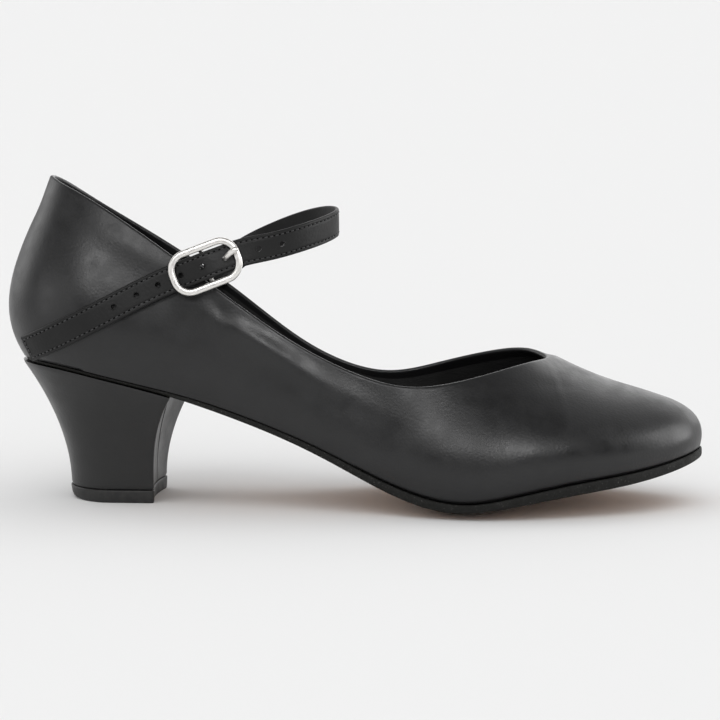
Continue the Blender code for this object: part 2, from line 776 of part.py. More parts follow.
def make_buckle_tab(group, cutters, finish):
    """Tab: round the centre bar and down on to the outer quarter, slotted for the prong."""
    inner = BAR_RADIUS + GAP
    outer = inner + TAB_THICK
    place, normal = quarter_point(-1, *TAB_END)
    end = place + normal * (GAP + 0.1 + TAB_THICK / 2)
    along, out, across = buckle_axes()
    centre = in_buckle(0, -BAR_DROP, STRAP_RISE)
    away = end - centre
    end_along = float(away @ along)
    end_out = float(away @ out)
    loop_outer = []
    loop_inner = []
    for angle in np.linspace(-150, 150, 13):
        a = math.radians(angle)
        loop_outer.append((outer * math.cos(a), outer * math.sin(a)))
        loop_inner.append((inner * math.cos(a), inner * math.sin(a)))
    half = TAB_THICK / 2
    tail = [(end_along, end_out + half), (end_along, end_out - half)]
    profile = loop_outer + tail
    mesh = bmesh.new()
    faces = []
    for side in (-TAB_WIDTH / 2, TAB_WIDTH / 2):
        rim = [mesh.verts.new(to_part(centre + along * s + out * w + across * side)) for s, w in profile]
        bore = [mesh.verts.new(to_part(centre + along * s + out * w + across * side)) for s, w in loop_inner]
        faces.append((rim, bore))
    (rim_a, bore_a), (rim_b, bore_b) = faces
    count = len(loop_outer)
    for i in range(count - 1):
        mesh.faces.new((rim_a[i], rim_a[i + 1], bore_a[i + 1], bore_a[i]))
        mesh.faces.new((rim_b[i + 1], rim_b[i], bore_b[i], bore_b[i + 1]))
        mesh.faces.new((bore_a[i], bore_a[i + 1], bore_b[i + 1], bore_b[i]))
    mesh.faces.new((bore_a[-1], bore_a[0], bore_b[0], bore_b[-1]))
    mesh.faces.new((rim_a[count - 1], rim_a[count], rim_a[count + 1], rim_a[0], bore_a[0], bore_a[-1]))
    mesh.faces.new((rim_b[0], rim_b[count + 1], rim_b[count], rim_b[count - 1], bore_b[-1], bore_b[0]))
    total = len(profile)
    for i in range(total):
        k = (i + 1) % total
        mesh.faces.new((rim_a[k], rim_a[i], rim_b[i], rim_b[k]))
    tab = finish_mesh("buckle_tab", mesh, group, finish)

    slot = bmesh.new()
    bmesh.ops.create_cube(slot, size=1.0)
    sizes = Matrix.Diagonal((2 * outer * MM, 4 * outer * MM, TAB_SLOT * MM, 1))
    turn = Matrix([[along[k], out[k], across[k]] for k in range(3)]).to_4x4()
    turn.translation = to_part(centre + along * outer)
    bmesh.ops.transform(slot, matrix=turn @ sizes, verts=slot.verts)
    cutter = finish_mesh("tab_slot", slot, cutters, finish)
    cutter.hide_render = True
    cutter.display_type = "WIRE"
    cut = tab.modifiers.new("slot", "BOOLEAN")
    cut.operation = "DIFFERENCE"
    cut.object = cutter
    return tab


def main():
    for old in list(bpy.data.objects):
        bpy.data.objects.remove(old)
    shoe = collection(COLLECTION)
    cutters = collection(CUTTERS)

    black_leather = material("black_leather", (0.012, 0.012, 0.013), 0.42)
    sole_leather = material("sole_leather", (0.36, 0.2, 0.1), 0.7)
    heel_cover = material("heel_cover", (0.012, 0.012, 0.013), 0.38)
    lift_rubber = material("lift_rubber", (0.01, 0.01, 0.01), 0.6)
    sock_leather = material("sock_leather", (0.01, 0.01, 0.01), 0.6)
    strap_leather = material("strap_leather", (0.012, 0.012, 0.013), 0.35)
    nickel = material("nickel", (0.75, 0.73, 0.7), 0.18, 1.0)

    make_upper(shoe, black_leather)
    make_outsole(shoe, sole_leather)
    make_insole(shoe, sock_leather)
    make_heel(shoe, heel_cover)
    make_top_lift(shoe, lift_rubber)
    make_strap(shoe, cutters, strap_leather)
    make_buckle_frame(shoe, cutters, nickel)
    make_buckle_prong(shoe, nickel)
    make_buckle_tab(shoe, cutters, strap_leather)


main()
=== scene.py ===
"""Looks of the character shoe: leather, linings, stitches, sole, buckle, floor, light and camera.

Sizes in the tables are in millimetres, as in the part's source: x from the back of the heel, y from the
heel's centre line with + to the inner side of the foot, and z from the floor.
"""
import math

import bmesh
import bpy
import numpy as np
from mathutils import Matrix, Vector
from mathutils.kdtree import KDTree


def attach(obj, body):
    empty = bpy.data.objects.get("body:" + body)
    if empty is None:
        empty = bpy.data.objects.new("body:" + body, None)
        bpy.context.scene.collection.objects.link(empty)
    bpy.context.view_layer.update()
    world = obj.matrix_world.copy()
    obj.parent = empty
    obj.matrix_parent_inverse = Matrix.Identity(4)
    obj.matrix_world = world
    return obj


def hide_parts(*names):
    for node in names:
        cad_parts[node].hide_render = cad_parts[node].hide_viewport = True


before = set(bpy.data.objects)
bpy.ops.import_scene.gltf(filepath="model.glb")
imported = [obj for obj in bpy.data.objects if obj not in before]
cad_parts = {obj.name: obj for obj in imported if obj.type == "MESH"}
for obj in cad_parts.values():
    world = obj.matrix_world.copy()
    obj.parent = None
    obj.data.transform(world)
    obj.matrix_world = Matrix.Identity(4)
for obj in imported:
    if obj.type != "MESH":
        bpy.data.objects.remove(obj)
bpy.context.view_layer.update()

MM = 0.001
MIDDLE_X = 124.6
MIDDLE_Y = 0.3
GAP = 0.3
WALL = 1.8
EDGE_RADIUS = 0.85
NUDGE = 0.01

# Rows around the foot. Row 0 is the middle of the heel's back and the last row is the tip of the toe.
THROAT = 9
POLE = 12
TIP = 13

FOOT = ("x", "y", "flare", "pull")
OUTER_FOOT = (
    (4.4, 0.0, 32, 0.38),
    (11.5, -17.4, 30, 0.37),
    (28.0, -25.6, 27, 0.35),
    (51.0, -27.0, 25, 0.34),
    (78.0, -26.4, 20, 0.34),
    (106.0, -27.6, 16, 0.35),
    (134.0, -31.8, 21, 0.36),
    (160.0, -37.1, 34, 0.36),
    (182.0, -37.2, 38, 0.38),
    (203.0, -32.0, 36, 0.40),
    (221.0, -24.9, 33, 0.41),
    (235.6, -15.3, 28, 0.42),
    (245.0, -5.0, 22, 0.44),
    (249.1, 6.5, 15, 0.46),
)
INNER_FOOT = (
    (4.4, 0.0, 32, 0.38),
    (11.5, 17.2, 30, 0.37),
    (28.0, 25.0, 27, 0.35),
    (51.0, 25.8, 24, 0.34),
    (78.0, 23.3, 20, 0.34),
    (106.0, 21.9, 17, 0.35),
    (134.0, 27.9, 22, 0.36),
    (160.0, 36.0, 32, 0.36),
    (182.0, 38.8, 34, 0.38),
    (203.0, 35.0, 33, 0.40),
    (221.0, 28.8, 31, 0.41),
    (235.6, 21.2, 27, 0.42),
    (245.0, 13.8, 22, 0.44),
    (249.1, 6.5, 15, 0.46),
)
COLLAR = ("x", "y", "z", "lean", "pull")
OUTER_COLLAR = (
    (14.9, 0.0, 117.1, 20, 0.39),
    (19.6, -9.8, 115.3, 19, 0.37),
    (32.0, -17.8, 109.9, 16, 0.32),
    (53.0, -23.8, 97.2, 13, 0.31),
    (79.0, -26.8, 79.0, 9, 0.31),
    (105.0, -26.4, 60.9, 8, 0.31),
    (131.0, -27.4, 48.6, 14, 0.31),
    (155.0, -30.4, 46.2, 24, 0.32),
    (181.5, -17.8, 51.7, 52, 0.38),
    (194.3, 2.5, 52.4, 72, 0.44),
)
INNER_COLLAR = (
    (14.9, 0.0, 117.1, 20, 0.39),
    (19.2, 9.8, 113.9, 19, 0.37),
    (30.5, 17.6, 105.6, 16, 0.32),
    (52.0, 23.0, 91.9, 12, 0.31),
    (79.0, 24.0, 73.6, 7, 0.31),
    (105.0, 22.4, 54.6, 6, 0.31),
    (131.0, 24.0, 44.3, 16, 0.31),
    (154.0, 28.6, 47.0, 27, 0.33),
    (181.5, 18.8, 53.9, 54, 0.38),
    (194.3, 2.5, 52.4, 95, 0.44),
)
RIDGE = ("row", "x", "y", "z", "cant", "pull")
VAMP_RIDGE = (
    (9, 194.3, 2.5, 52.4, 12, 0.44),
    (10, 211.0, 5.2, 45.3, 8, 0.45),
    (11, 225.0, 6.6, 41.1, 5, 0.46),
    (12, 234.0, 6.8, 38.5, 2, 0.47),
)
BED = ("x", "edge", "middle", "spread", "crown", "thick", "sag")
SOLE_BED = (
    (0.0, 52.6, 0.0, 24.0, 0.5, 1.2, 0.5),
    (18.0, 51.4, 0.0, 26.0, 0.5, 1.2, 0.5),
    (35.0, 48.1, 0.3, 27.0, 0.5, 1.2, 0.5),
    (52.0, 44.2, 0.0, 27.0, 0.5, 1.3, 0.5),
    (68.0, 40.2, -0.8, 26.5, 0.6, 1.7, 0.6),
    (84.0, 35.1, -2.0, 26.0, 0.7, 2.0, 0.7),
    (100.0, 29.2, -2.6, 26.0, 0.9, 2.2, 1.0),
    (116.0, 22.5, -2.2, 28.0, 1.3, 2.6, 1.5),
    (132.0, 15.0, -1.4, 31.5, 1.8, 3.0, 2.2),
    (146.0, 9.4, -0.8, 35.0, 2.3, 3.3, 3.7),
    (158.0, 6.3, -0.4, 37.5, 2.5, 3.2, 4.1),
    (169.0, 5.7, 0.0, 38.5, 2.5, 3.0, 4.2),
    (182.0, 7.8, 0.6, 38.5, 2.4, 3.3, 3.9),
    (200.0, 11.6, 1.2, 36.0, 2.2, 3.8, 2.8),
    (218.0, 14.4, 2.6, 32.0, 1.9, 3.9, 2.0),
    (235.0, 17.5, 4.6, 30.0, 1.5, 3.6, 1.6),
    (250.0, 21.2, 6.5, 28.0, 1.0, 3.3, 1.0),
)
SOLE_WELT = ((0.0, -1.5), (55.0, -1.5), (74.0, 0.0), (130.0, 0.5), (170.0, 0.9), (225.0, 0.7), (250.0, 0.2))
MARGIN_INSETS = (8.0, 5.8, 3.6, 1.6, 0.5)

# The upper's mesh, its folded edge, and how far its facing and lining reach.
UPPER_STEPS_A_ROW = 12
UPPER_WALL_STEPS = 46
EDGE_STEPS = 8
EDGE_REACH = 6.0
FACING = 7
LINING_SINK = 0.12
LINING_TOP = UPPER_WALL_STEPS - 3
LINING_THROAT = 0.5

# Soft troughs (depth above 0) and ridges (below 0) in the upper. Each lies along a line seen from its side:
# its middle, its angle from level, its half length and half width. Side is -1 outer, +1 inner, 0 from above,
# where z holds the middle's y.
CREASE = ("side", "x", "z", "angle", "length", "width", "depth")
CREASES = (
    (-1, 51.0, 92.2, -29, 18.0, 3.6, -0.45),
    (-1, 44.0, 86.0, -34, 15.0, 4.0, 0.25),
    (-1, 32.0, 78.0, -62, 14.0, 7.0, -0.40),
    (-1, 80.5, 70.5, -62, 6.0, 2.2, 0.60),
    (-1, 95.0, 59.6, -31, 16.0, 3.4, -1.40),
    (-1, 139.0, 48.0, -6, 22.0, 11.0, -1.30),
    (-1, 78.0, 58.0, -44, 16.0, 6.0, 0.45),
    (-1, 118.0, 45.5, -24, 20.0, 3.4, -0.40),
    (-1, 136.0, 27.0, 24, 16.0, 5.0, 0.30),
    (-1, 12.0, 106.0, 60, 7.0, 3.0, 0.35),
    (1, 42.0, 88.0, -34, 16.0, 3.0, 0.40),
    (1, 74.0, 62.0, -44, 7.0, 2.4, 0.45),
    (1, 96.0, 52.0, -34, 14.0, 2.8, -0.30),
    (1, 138.0, 27.0, 26, 15.0, 5.0, 0.30),
    (0, 200.0, 3.4, 66, 5.0, 1.6, 0.22),
    (0, 204.0, 4.0, 70, 8.0, 1.5, -0.12),
    (0, 196.0, -17.0, 32, 12.0, 2.6, 0.16),
    (0, 196.0, 21.0, -40, 12.0, 2.6, 0.18),
)
# Share of the wall's height, up from the feather line, over which the creases fade in.
CREASE_FADE = 0.12

# The sole and the insole. Each row of an edge is a share of the way down its side and how far it bulges.
SOLE_EDGE = ((0.03, 0.22), (0.10, 0.38), (0.25, 0.48), (0.5, 0.5), (0.75, 0.48), (0.9, 0.38), (0.97, 0.2))
SOLE_LINES = 33
SOCK_EDGE = ((0.1, 0.0), (0.9, 0.0))
SOCK_LINES = 25
PLATE_STEP = 0.1
INSOLE_THICK = 2.0
INSOLE_CLEARANCE = 1.1

# The covered heel and its lift.
BREAST_ROWS = (3.42, 3.5)
BREAST_HOLLOW_TOP = 4.5
BREAST_HOLLOW_BOTTOM = 1.6
LIFT_HEIGHT = 4.7
LIFT_BACK = 21.2
LIFT_FRONT = 53.8
LIFT_RADIUS = 16.3
LIFT_CORNER_OUT = 15.8
HEEL_RIM = 0.5
BACK_CURVE = 1.87
BREAST_CURVES = (2.8, 2.0)
SIDE_CURVE = 1.9
WALL_POINTS = 121
FRONT_POINTS = 39
HEEL_STEPS = 48
HEEL_EDGE_INSET = 0.35
HEEL_TOP_CAP = (1.0, 0.5, 0.15)
HEEL_BOTTOM_CAP = (0.15, 1.0)
SEAM_WIDTH = 0.45
SEAM_DEPTH = 0.8
SEAM_LIP = 0.12
LIFT_LEVEL = ("out", "worn", "z")
LIFT_LEVELS = (
    (-1.6, 2.3, 0.0),
    (-0.6, 2.0, 0.0),
    (-0.25, 1.6, 0.12),
    (0.0, 0.7, 0.8),
    (0.1, 0.2, 2.0),
    (0.2, 0.0, 3.9),
    (0.2, 0.0, 4.35),
    (0.05, 0.0, 4.62),
    (-0.3, 0.0, LIFT_HEIGHT),
    (-1.6, 0.0, LIFT_HEIGHT),
)

# The strap's section: folded edges and a face that is slightly domed.
STRAP_WIDTH = 9.8
STRAP_THICK = 1.5
STRAP_SECTIONS = 420
STRAP_FOLD = 0.45
STRAP_FOLD_STEPS = 7
STRAP_FACE_STEPS = 23
STRAP_FACE_MARGIN = 0.75
STRAP_DOME = 0.04

# The strap's stitches, the grooves that they lie in, and the needle holes, drawn as flat discs of painted
# shade.
STITCH_INSET = 1.35
STITCH_PITCH = 2.0
STITCH_LENGTH = 1.25
STITCH_RADIUS = 0.24
STITCH_STATIONS = 2000
STITCH_START = 1.6
STITCH_END = 1.5
STITCH_SINK = 0.16
GROOVE_WIDTH = 0.35
GROOVE_DEPTH = 0.2
END_STITCH_STATION = 11
END_STITCH_LENGTH = 1.2
END_STITCH_SINK = 0.02
NEEDLE_RADIUS = 0.36

# The punched holes, by their length along the strap from the buckle's middle, and their raised rims.
HOLES = (-35.6, -26.9, -18.2, -9.5, -0.8, 7.4, 19.5, 28.0)
PRONG_HOLE = 7.4
HOLE_DIAMETER = 2.0
RIM_LEVEL = 0.72
RIM_GAP = 0.12
RIM_WIDE = 0.17
RIM_HIGH = 0.14

# The buckle: its place and its turns in degrees, then its frame, its centre bar and its prong.
BUCKLE_CENTRE = (75.2, -31.3, 87.5)
BUCKLE_PITCH = 21.0
BUCKLE_TURN = 3.0
BUCKLE_LEAN = 8.0
BUCKLE_LENGTH = 26.2
BUCKLE_WIDTH = 16.2
BUCKLE_CORNER = 5.8
WIRE_RADIUS = 1.15
FRAME_WIDE = 1.2
FRAME_DEEP = 0.95
FRAME_STEPS = 120
FRAME_CORNER_STEPS = 14
FRAME_SQUARE_WIDE = 0.8
FRAME_SQUARE_DEEP = 0.75
FRAME_GROOVE_PLACE = 0.1
FRAME_GROOVE_WIDTH = 0.15
FRAME_GROOVE_DEPTH = 0.22
BAR_RADIUS = 0.8
BAR_DROP = 3.4
BAR_STEPS = 61
BAR_SOFTENING = 6
PRONG_RADIUS = 0.65
PRONG_WIDE = 1.35
PRONG_STEPS = 60
PRONG_TIP_STEPS = 6
PRONG_START_SIZES = (0.05, 0.7)

# The strap's course: along the outer quarter, through the buckle, round the instep and to its sewn end on the
# inner quarter. In the buckle each row is a place along it and a height out of its plane.
STRAP_RISE = 0.3
QUARTER_ROWS = (0.5, 6.5)
ON_QUARTER = ("x", "z", "lift")
STRAP_TAIL = (
    (10.6, 56.9, 1.5),
    (17.0, 59.8, 1.3),
    (27.0, 64.6, 1.3),
    (38.0, 70.2, 1.3),
    (48.5, 75.6, 1.5),
)
STRAP_IN_BUCKLE = ((-12.4, -2.25), (-6.0, -1.3), (0.0, -0.35), (6.0, -1.3), (12.4, -2.25))
STRAP_LOOP = (
    (97.8, -25.6, 94.3),
    (107.2, -20.0, 96.6),
    (114.8, -11.4, 98.8),
    (118.5, -1.0, 100.6),
    (114.4, 9.4, 100.7),
    (104.4, 17.8, 98.0),
    (92.4, 22.8, 93.0),
    (81.0, 23.4, 86.9),
)
STRAP_SEWN = (
    (70.5, 78.2, -3.7),
    (63.0, 70.2, -3.3),
    (57.5, 61.5, -3.3),
)
LOOP_RADIUS = 32.0
LOOP_SQUEEZE = 0.6

# The tab that holds the buckle's centre bar to the outer quarter.
TAB_WIDTH = 6.4
TAB_THICK = 0.9
TAB_SLOT = 2.6
TAB_LIFT = 0.1
TAB_WRAP = 150
TAB_WRAP_STEPS = 33
TAB_STEPS = 12
TAB_END = (64.0, 83.5)

# The floor and the backdrop round it.
STAGE_RADIUS = 14.0
BACKDROP_TONE = 0.888
FLOOR_TONE = 0.80

# The photograph's angle, in degrees, and the point that the camera looks at from a metre away.
CAMERA_AZIMUTH = 5
CAMERA_ELEVATION = 8
CAMERA_LENS = 140.85
CAMERA_AIM = (0.0034, -0.0153, 0.05292)

# The even light on floor and shoe comes from wide lamps all round: where each stands and its strength.
DAYLIGHT_WIDTH = 80.0
DAYLIGHT = (
    ("daylight_front", (-0.1, -1.0, 0.8), 1.50),
    ("daylight_left", (-1.0, 0.0, 0.8), 0.70),
    ("daylight_right", (1.0, 0.0, 0.8), 0.70),
    ("daylight_back", (0.0, 1.0, 0.8), 0.20),
    ("daylight_top", (0.0, 0.0, 1.0), 0.65),
)
# Soft boxes that only show as sheen: each one's place, the height over the origin that it points at, its
# size, all in metres, and its power in watts.
LIGHT = ("name", "place", "aim", "width", "height", "watts")
LIGHTS = (
    ("front_right", (0.33, -1.02, 0.60), 0.07, 0.35, 0.25, 3.8),
    ("front_left", (-0.33, -0.98, 0.66), 0.07, 0.44, 0.28, 3.2),
    ("front_low", (-0.98, -0.63, 0.30), 0.07, 0.6, 0.4, 1.4),
    ("left_back", (-1.1, 0.45, 0.55), 0.06, 0.7, 0.9, 3.0),
    ("right_back", (1.2, 0.15, 0.45), 0.04, 0.7, 0.9, 9.0),
    ("back", (0.3, 1.3, 0.55), 0.04, 1.8, 0.8, 6.5),
)
# The studio's brightness in front of the shoe and behind it, and how far to each side it changes.
STUDIO_FRONT = 0.03
STUDIO_BACK = 0.55
STUDIO_TURN = 0.7


def spline(keys, values, at, period=None):
    """Cubic spline through the rows of a table, natural at its ends or closed over a period."""
    keys = np.asarray(keys, float)
    values = np.asarray(values, float).reshape(len(keys), -1)
    count = len(keys)
    if period:
        wraps = 3
        keys = np.concatenate([keys[-wraps - 1:-1] - period, keys, keys[1:wraps + 1] + period])
        values = np.concatenate([values[-wraps - 1:-1], values, values[1:wraps + 1]])
        count = len(keys)
    step = np.diff(keys)
    rise = np.diff(values, axis=0) / step[:, None]
    system = np.eye(count)
    right = np.zeros_like(values)
    for i in range(1, count - 1):
        system[i, i - 1:i + 2] = step[i - 1], 2 * (step[i - 1] + step[i]), step[i]
        right[i] = 6 * (rise[i] - rise[i - 1])
    bend = np.linalg.solve(system, right)
    at = np.asarray(at, float)
    cell = np.clip(np.searchsorted(keys, at, side="right") - 1, 0, count - 2)
    width = step[cell][..., None]
    near = at[..., None] - keys[cell][..., None]
    far = width - near
    return ((bend[cell] * far ** 3 + bend[cell + 1] * near ** 3) / (6 * width)
            + (values[cell] / width - bend[cell] * width / 6) * far
            + (values[cell + 1] / width - bend[cell + 1] * width / 6) * near)


def named(columns, values):
    """The values of a table's row, or of many rows, by the names of their columns."""
    return dict(zip(columns, np.moveaxis(np.asarray(values), -1, 0)))


def both_sides(outer, inner):
    """Rows around the whole shoe, with the outer side at negative row numbers."""
    return np.array(outer[:0:-1] + inner, float)


def foot_at(row):
    """The feather line at a row number from -TIP to TIP."""
    keys = np.arange(-TIP, TIP + 1)
    return named(FOOT, spline(keys, both_sides(OUTER_FOOT, INNER_FOOT), row, period=2 * TIP))


def foot_place(row):
    foot = foot_at(row)
    return np.array([foot["x"], foot["y"]])


def foot_normal(row):
    """Outward plan direction of the feather line."""
    run = foot_place(row + NUDGE) - foot_place(row - NUDGE)
    run /= np.linalg.norm(run)
    return np.array([-run[1], run[0]])


def bed_at(x):
    """The sole's section at a length along the shoe."""
    table = np.array(SOLE_BED)
    return named(BED, spline(table[:, 0], table, x))


def bed_top(x, y):
    """Height of the sole's top face."""
    bed = bed_at(x)
    return bed["edge"] - bed["crown"] * (1 - ((y - bed["middle"]) / bed["spread"]) ** 2)


def bed_bottom(x, y):
    """Height of the sole's underside, flat where the forepart stands on the floor."""
    bed = bed_at(x)
    hang = bed["sag"] * (1 - ((y - bed["middle"]) / bed["spread"]) ** 2)
    return np.maximum(bed["edge"] - bed["thick"] - hang, 0.0)


def collar_at(row):
    """The top edge at a row number from -THROAT to THROAT."""
    keys = np.arange(-THROAT, THROAT + 1)
    return named(COLLAR, spline(keys, both_sides(OUTER_COLLAR, INNER_COLLAR), row))


def ridge_at(row):
    """The line over the vamp at a row number from THROAT to POLE."""
    table = np.array(VAMP_RIDGE)
    return named(RIDGE, spline(table[:, 0], table, row))


def point_of(row):
    return np.array([row["x"], row["y"], row["z"]])


def top_end(row):
    """Upper end of the wall's curve at one row: the point, its direction there and its pull."""
    outward = foot_normal(row)
    if abs(row) < THROAT:
        top = collar_at(row)
        slope = math.tan(math.radians(90 - top["lean"]))
    else:
        place = min(abs(row), POLE)
        top = ridge_at(place)
        run = point_of(ridge_at(min(place + NUDGE, POLE))) - point_of(ridge_at(max(place - NUDGE, THROAT)))
        across = math.tan(math.radians(top["cant"]))
        along = (run[2] - across * run[1]) / run[0]
        slope = -outward[0] * along - outward[1] * across
    direction = np.array([-outward[0], -outward[1], slope])
    return point_of(top), direction / np.linalg.norm(direction), top["pull"]


def wall_curve(row, shares):
    """Points on the last's surface from the feather line up to the top edge or the vamp's ridge."""
    feather = foot_at(row)
    outward = foot_normal(row)
    foot = np.array([feather["x"], feather["y"], bed_top(feather["x"], feather["y"]) + GAP])
    flare = math.radians(feather["flare"])
    rise = np.array([outward[0] * math.sin(flare), outward[1] * math.sin(flare), math.cos(flare)])
    top, direction, high_pull = top_end(row)
    height = np.linalg.norm(top - foot)
    low = foot + rise * height * feather["pull"]
    high = top - direction * height * high_pull
    t = np.asarray(shares, float)[:, None]
    return ((1 - t) ** 3 * foot + 3 * (1 - t) ** 2 * t * low
            + 3 * (1 - t) * t ** 2 * high + t ** 3 * top)


def to_part(point):
    """From shoemaker's millimetres to the part's frame in metres."""
    return Vector(((point[0] - MIDDLE_X) * MM, (point[1] - MIDDLE_Y) * MM, point[2] * MM))


def new_data(name, mesh):
    data = bpy.data.meshes.new(name)
    mesh.to_mesh(data)
    mesh.free()
    return data


def new_object(name, data):
    made = bpy.data.objects.new(name, data)
    bpy.context.scene.collection.objects.link(made)
    return made


def finish_mesh(name, mesh, finishes, nodes, merge=0.00001, smooth=45):
    """Turn a bmesh into a piece of the shoe that rides on its body and stands for CAD nodes."""
    bmesh.ops.remove_doubles(mesh, verts=mesh.verts, dist=merge)
    bmesh.ops.recalc_face_normals(mesh, faces=mesh.faces)
    data = new_data(name, mesh)
    data.shade_smooth()
    data.set_sharp_from_angle(angle=math.radians(smooth))
    for finish in finishes:
        data.materials.append(finish)
    made = new_object(name, data)
    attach(made, "root")
    if nodes:
        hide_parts(*nodes)
    return made


def add_grid(mesh, rows, closed=False, index=0):
    """Quads between neighbouring rows of points. Closed joins the last point of a row to its first."""
    verts = [[mesh.verts.new(to_part(point)) for point in row] for row in rows]
    width = len(verts[0])
    for i in range(len(verts) - 1):
        for j in range(width if closed else width - 1):
            k = (j + 1) % width
            face = mesh.faces.new((verts[i][j], verts[i][k], verts[i + 1][k], verts[i + 1][j]))
            face.material_index = index
    return verts


def unit(vectors):
    return vectors / np.maximum(np.linalg.norm(vectors, axis=-1, keepdims=True), 1e-12)


def lengths_along(points):
    return np.concatenate([[0], np.cumsum(np.linalg.norm(np.diff(points, axis=0), axis=1))])


def full_turn(count):
    return np.linspace(0, 2 * math.pi, count + 1)[:-1]


def grid_normals(grid):
    """Outward normals of the upper's grid, shared where the two sides meet over the vamp."""
    mesh = bmesh.new()
    add_grid(mesh, grid)
    bmesh.ops.remove_doubles(mesh, verts=mesh.verts, dist=0.00001)
    bmesh.ops.recalc_face_normals(mesh, faces=mesh.faces)
    mesh.normal_update()
    tree = KDTree(len(mesh.verts))
    mesh.verts.ensure_lookup_table()
    for vert in mesh.verts:
        tree.insert(vert.co, vert.index)
    tree.balance()
    normals = np.zeros_like(grid)
    for i, row in enumerate(grid):
        for j, point in enumerate(row):
            normals[i, j] = mesh.verts[tree.find(to_part(point))[1]].normal
    mesh.free()
    middle = grid[len(grid) // 2, grid.shape[1] // 2]
    if normals[len(grid) // 2, grid.shape[1] // 2] @ (middle - np.array([100.0, 0.0, middle[2]])) < 0:
        normals = -normals
    return normals


def crease_depth(points):
    """How far each point of the upper goes in for the creases."""
    x, y, z = points[..., 0], points[..., 1], points[..., 2]
    total = np.zeros(points.shape[:-1])
    for values in CREASES:
        crease = named(CREASE, values)
        height = z if crease["side"] else y
        angle = math.radians(crease["angle"])
        run = (x - crease["x"]) * math.cos(angle) + (height - crease["z"]) * math.sin(angle)
        off = (height - crease["z"]) * math.cos(angle) - (x - crease["x"]) * math.sin(angle)
        share = np.exp(-(run / crease["length"]) ** 2 - (off / crease["width"]) ** 2)
        if crease["side"]:
            share = share * (y * crease["side"] > 0)
        total += crease["depth"] * share
    return total


def smooth_line(points, passes):
    """A closed line with its corner softened. The first and last point are the same."""
    line = points[:-1].copy()
    for _ in range(passes):
        line = (np.roll(line, 1, axis=0) + 2 * line + np.roll(line, -1, axis=0)) / 4
    return np.concatenate([line, line[:1]])


def make_upper(leather, lining):
    """The upper: outer leather with a folded top edge and its facing inside, then the lining."""
    rows = np.linspace(-TIP, TIP, 2 * TIP * UPPER_STEPS_A_ROW + 1)
    shares = np.linspace(0, 1, UPPER_WALL_STEPS + 1)
    grid = np.array([wall_curve(row, shares) for row in rows])
    normals = grid_normals(grid)
    collar = np.abs(rows) < THROAT + 1e-6
    edge = smooth_line(grid[collar, -1], 3)
    edge_normals = unit(smooth_line(normals[collar, -1], 6))
    run = unit(np.roll(edge[:-1], -1, axis=0) - np.roll(edge[:-1], 1, axis=0))
    run = np.concatenate([run, run[:1]])
    into = unit(np.cross(run, edge_normals))
    if into[len(into) // 2][2] > 0:
        into = -into
    shift = edge + into * EDGE_RADIUS - grid[collar, -1]

    tree = KDTree(len(edge))
    for i, point in enumerate(grid[collar, -1]):
        tree.insert(point, i)
    tree.balance()
    for i in range(len(rows)):
        for j in range(len(shares)):
            _, nearest, away = tree.find(grid[i, j])
            if away < EDGE_REACH:
                grid[i, j] += shift[nearest] * (1 - away / EDGE_REACH) ** 2
    fade = np.minimum(shares / CREASE_FADE, 1.0)
    grid -= normals * (crease_depth(grid) * fade)[..., None]
    ring = grid[collar, -1]
    centre = ring - edge_normals * EDGE_RADIUS

    arcs = []
    for angle in np.linspace(0, math.pi, EDGE_STEPS + 1)[1:]:
        arcs.append(centre + EDGE_RADIUS * (edge_normals * math.cos(angle) - into * math.sin(angle)))
    arcs = np.array(arcs).transpose(1, 0, 2)
    inner = grid - normals * 2 * EDGE_RADIUS
    inner[collar, -1] = arcs[:, -1]

    bottom = []
    for row in rows:
        place = foot_place(row)
        outward = foot_normal(row)
        spots = [place - outward * inset for inset in MARGIN_INSETS]
        bottom.append([(x, y, bed_top(x, y) + GAP) for x, y in spots])
    bottom = np.array(bottom)

    mesh = bmesh.new()
    add_grid(mesh, np.concatenate([bottom, grid], axis=1))
    add_grid(mesh, np.concatenate([ring[:, None], arcs, inner[collar, :-1][:, ::-1][:, :FACING]], axis=1))
    finish_mesh("upper_leather", mesh, [leather], ["upper"], smooth=60)

    sunk = inner - normals * LINING_SINK
    mesh = bmesh.new()
    add_grid(mesh, np.concatenate([bottom + np.array([0, 0, WALL]), sunk[:, :LINING_TOP]], axis=1))
    vamp = np.abs(rows) >= THROAT - LINING_THROAT
    half = len(rows) // 2
    for part in (slice(None, half), slice(half, None)):
        add_grid(mesh, sunk[part][vamp[part]][:, LINING_TOP - 1:])
    finish_mesh("upper_lining", mesh, [lining], [], merge=0.00003, smooth=60)


def plate_sections(reach, lower, upper, edge, step, lines):
    """Closed sections across a thin plate on the bed. Edge lists how its side curves, from top to bottom."""
    sections = []
    for row in np.linspace(0, TIP, round(TIP / step) + 1):
        ends = []
        for side in (-1, 1):
            place = foot_place(side * row)
            outward = foot_normal(side * row)
            ends.append((place + outward * reach(place[0]), outward))
        (left, left_out), (right, right_out) = ends
        across = [left + (right - left) * share for share in np.linspace(0, 1, lines)]
        top = [(x, y, upper(x, y)) for x, y in across]
        bottom = [(x, y, lower(x, y)) for x, y in across]
        right_side = []
        left_side = []
        sides = ((right, right_out, -1, right_side), (left, left_out, 0, left_side))
        for share, out in edge:
            for place, outward, i, points in sides:
                height = top[i][2] + (bottom[i][2] - top[i][2]) * share
                points.append((place[0] + outward[0] * out, place[1] + outward[1] * out, height))
        sections.append(top + right_side + bottom[::-1] + left_side[::-1])
    return sections


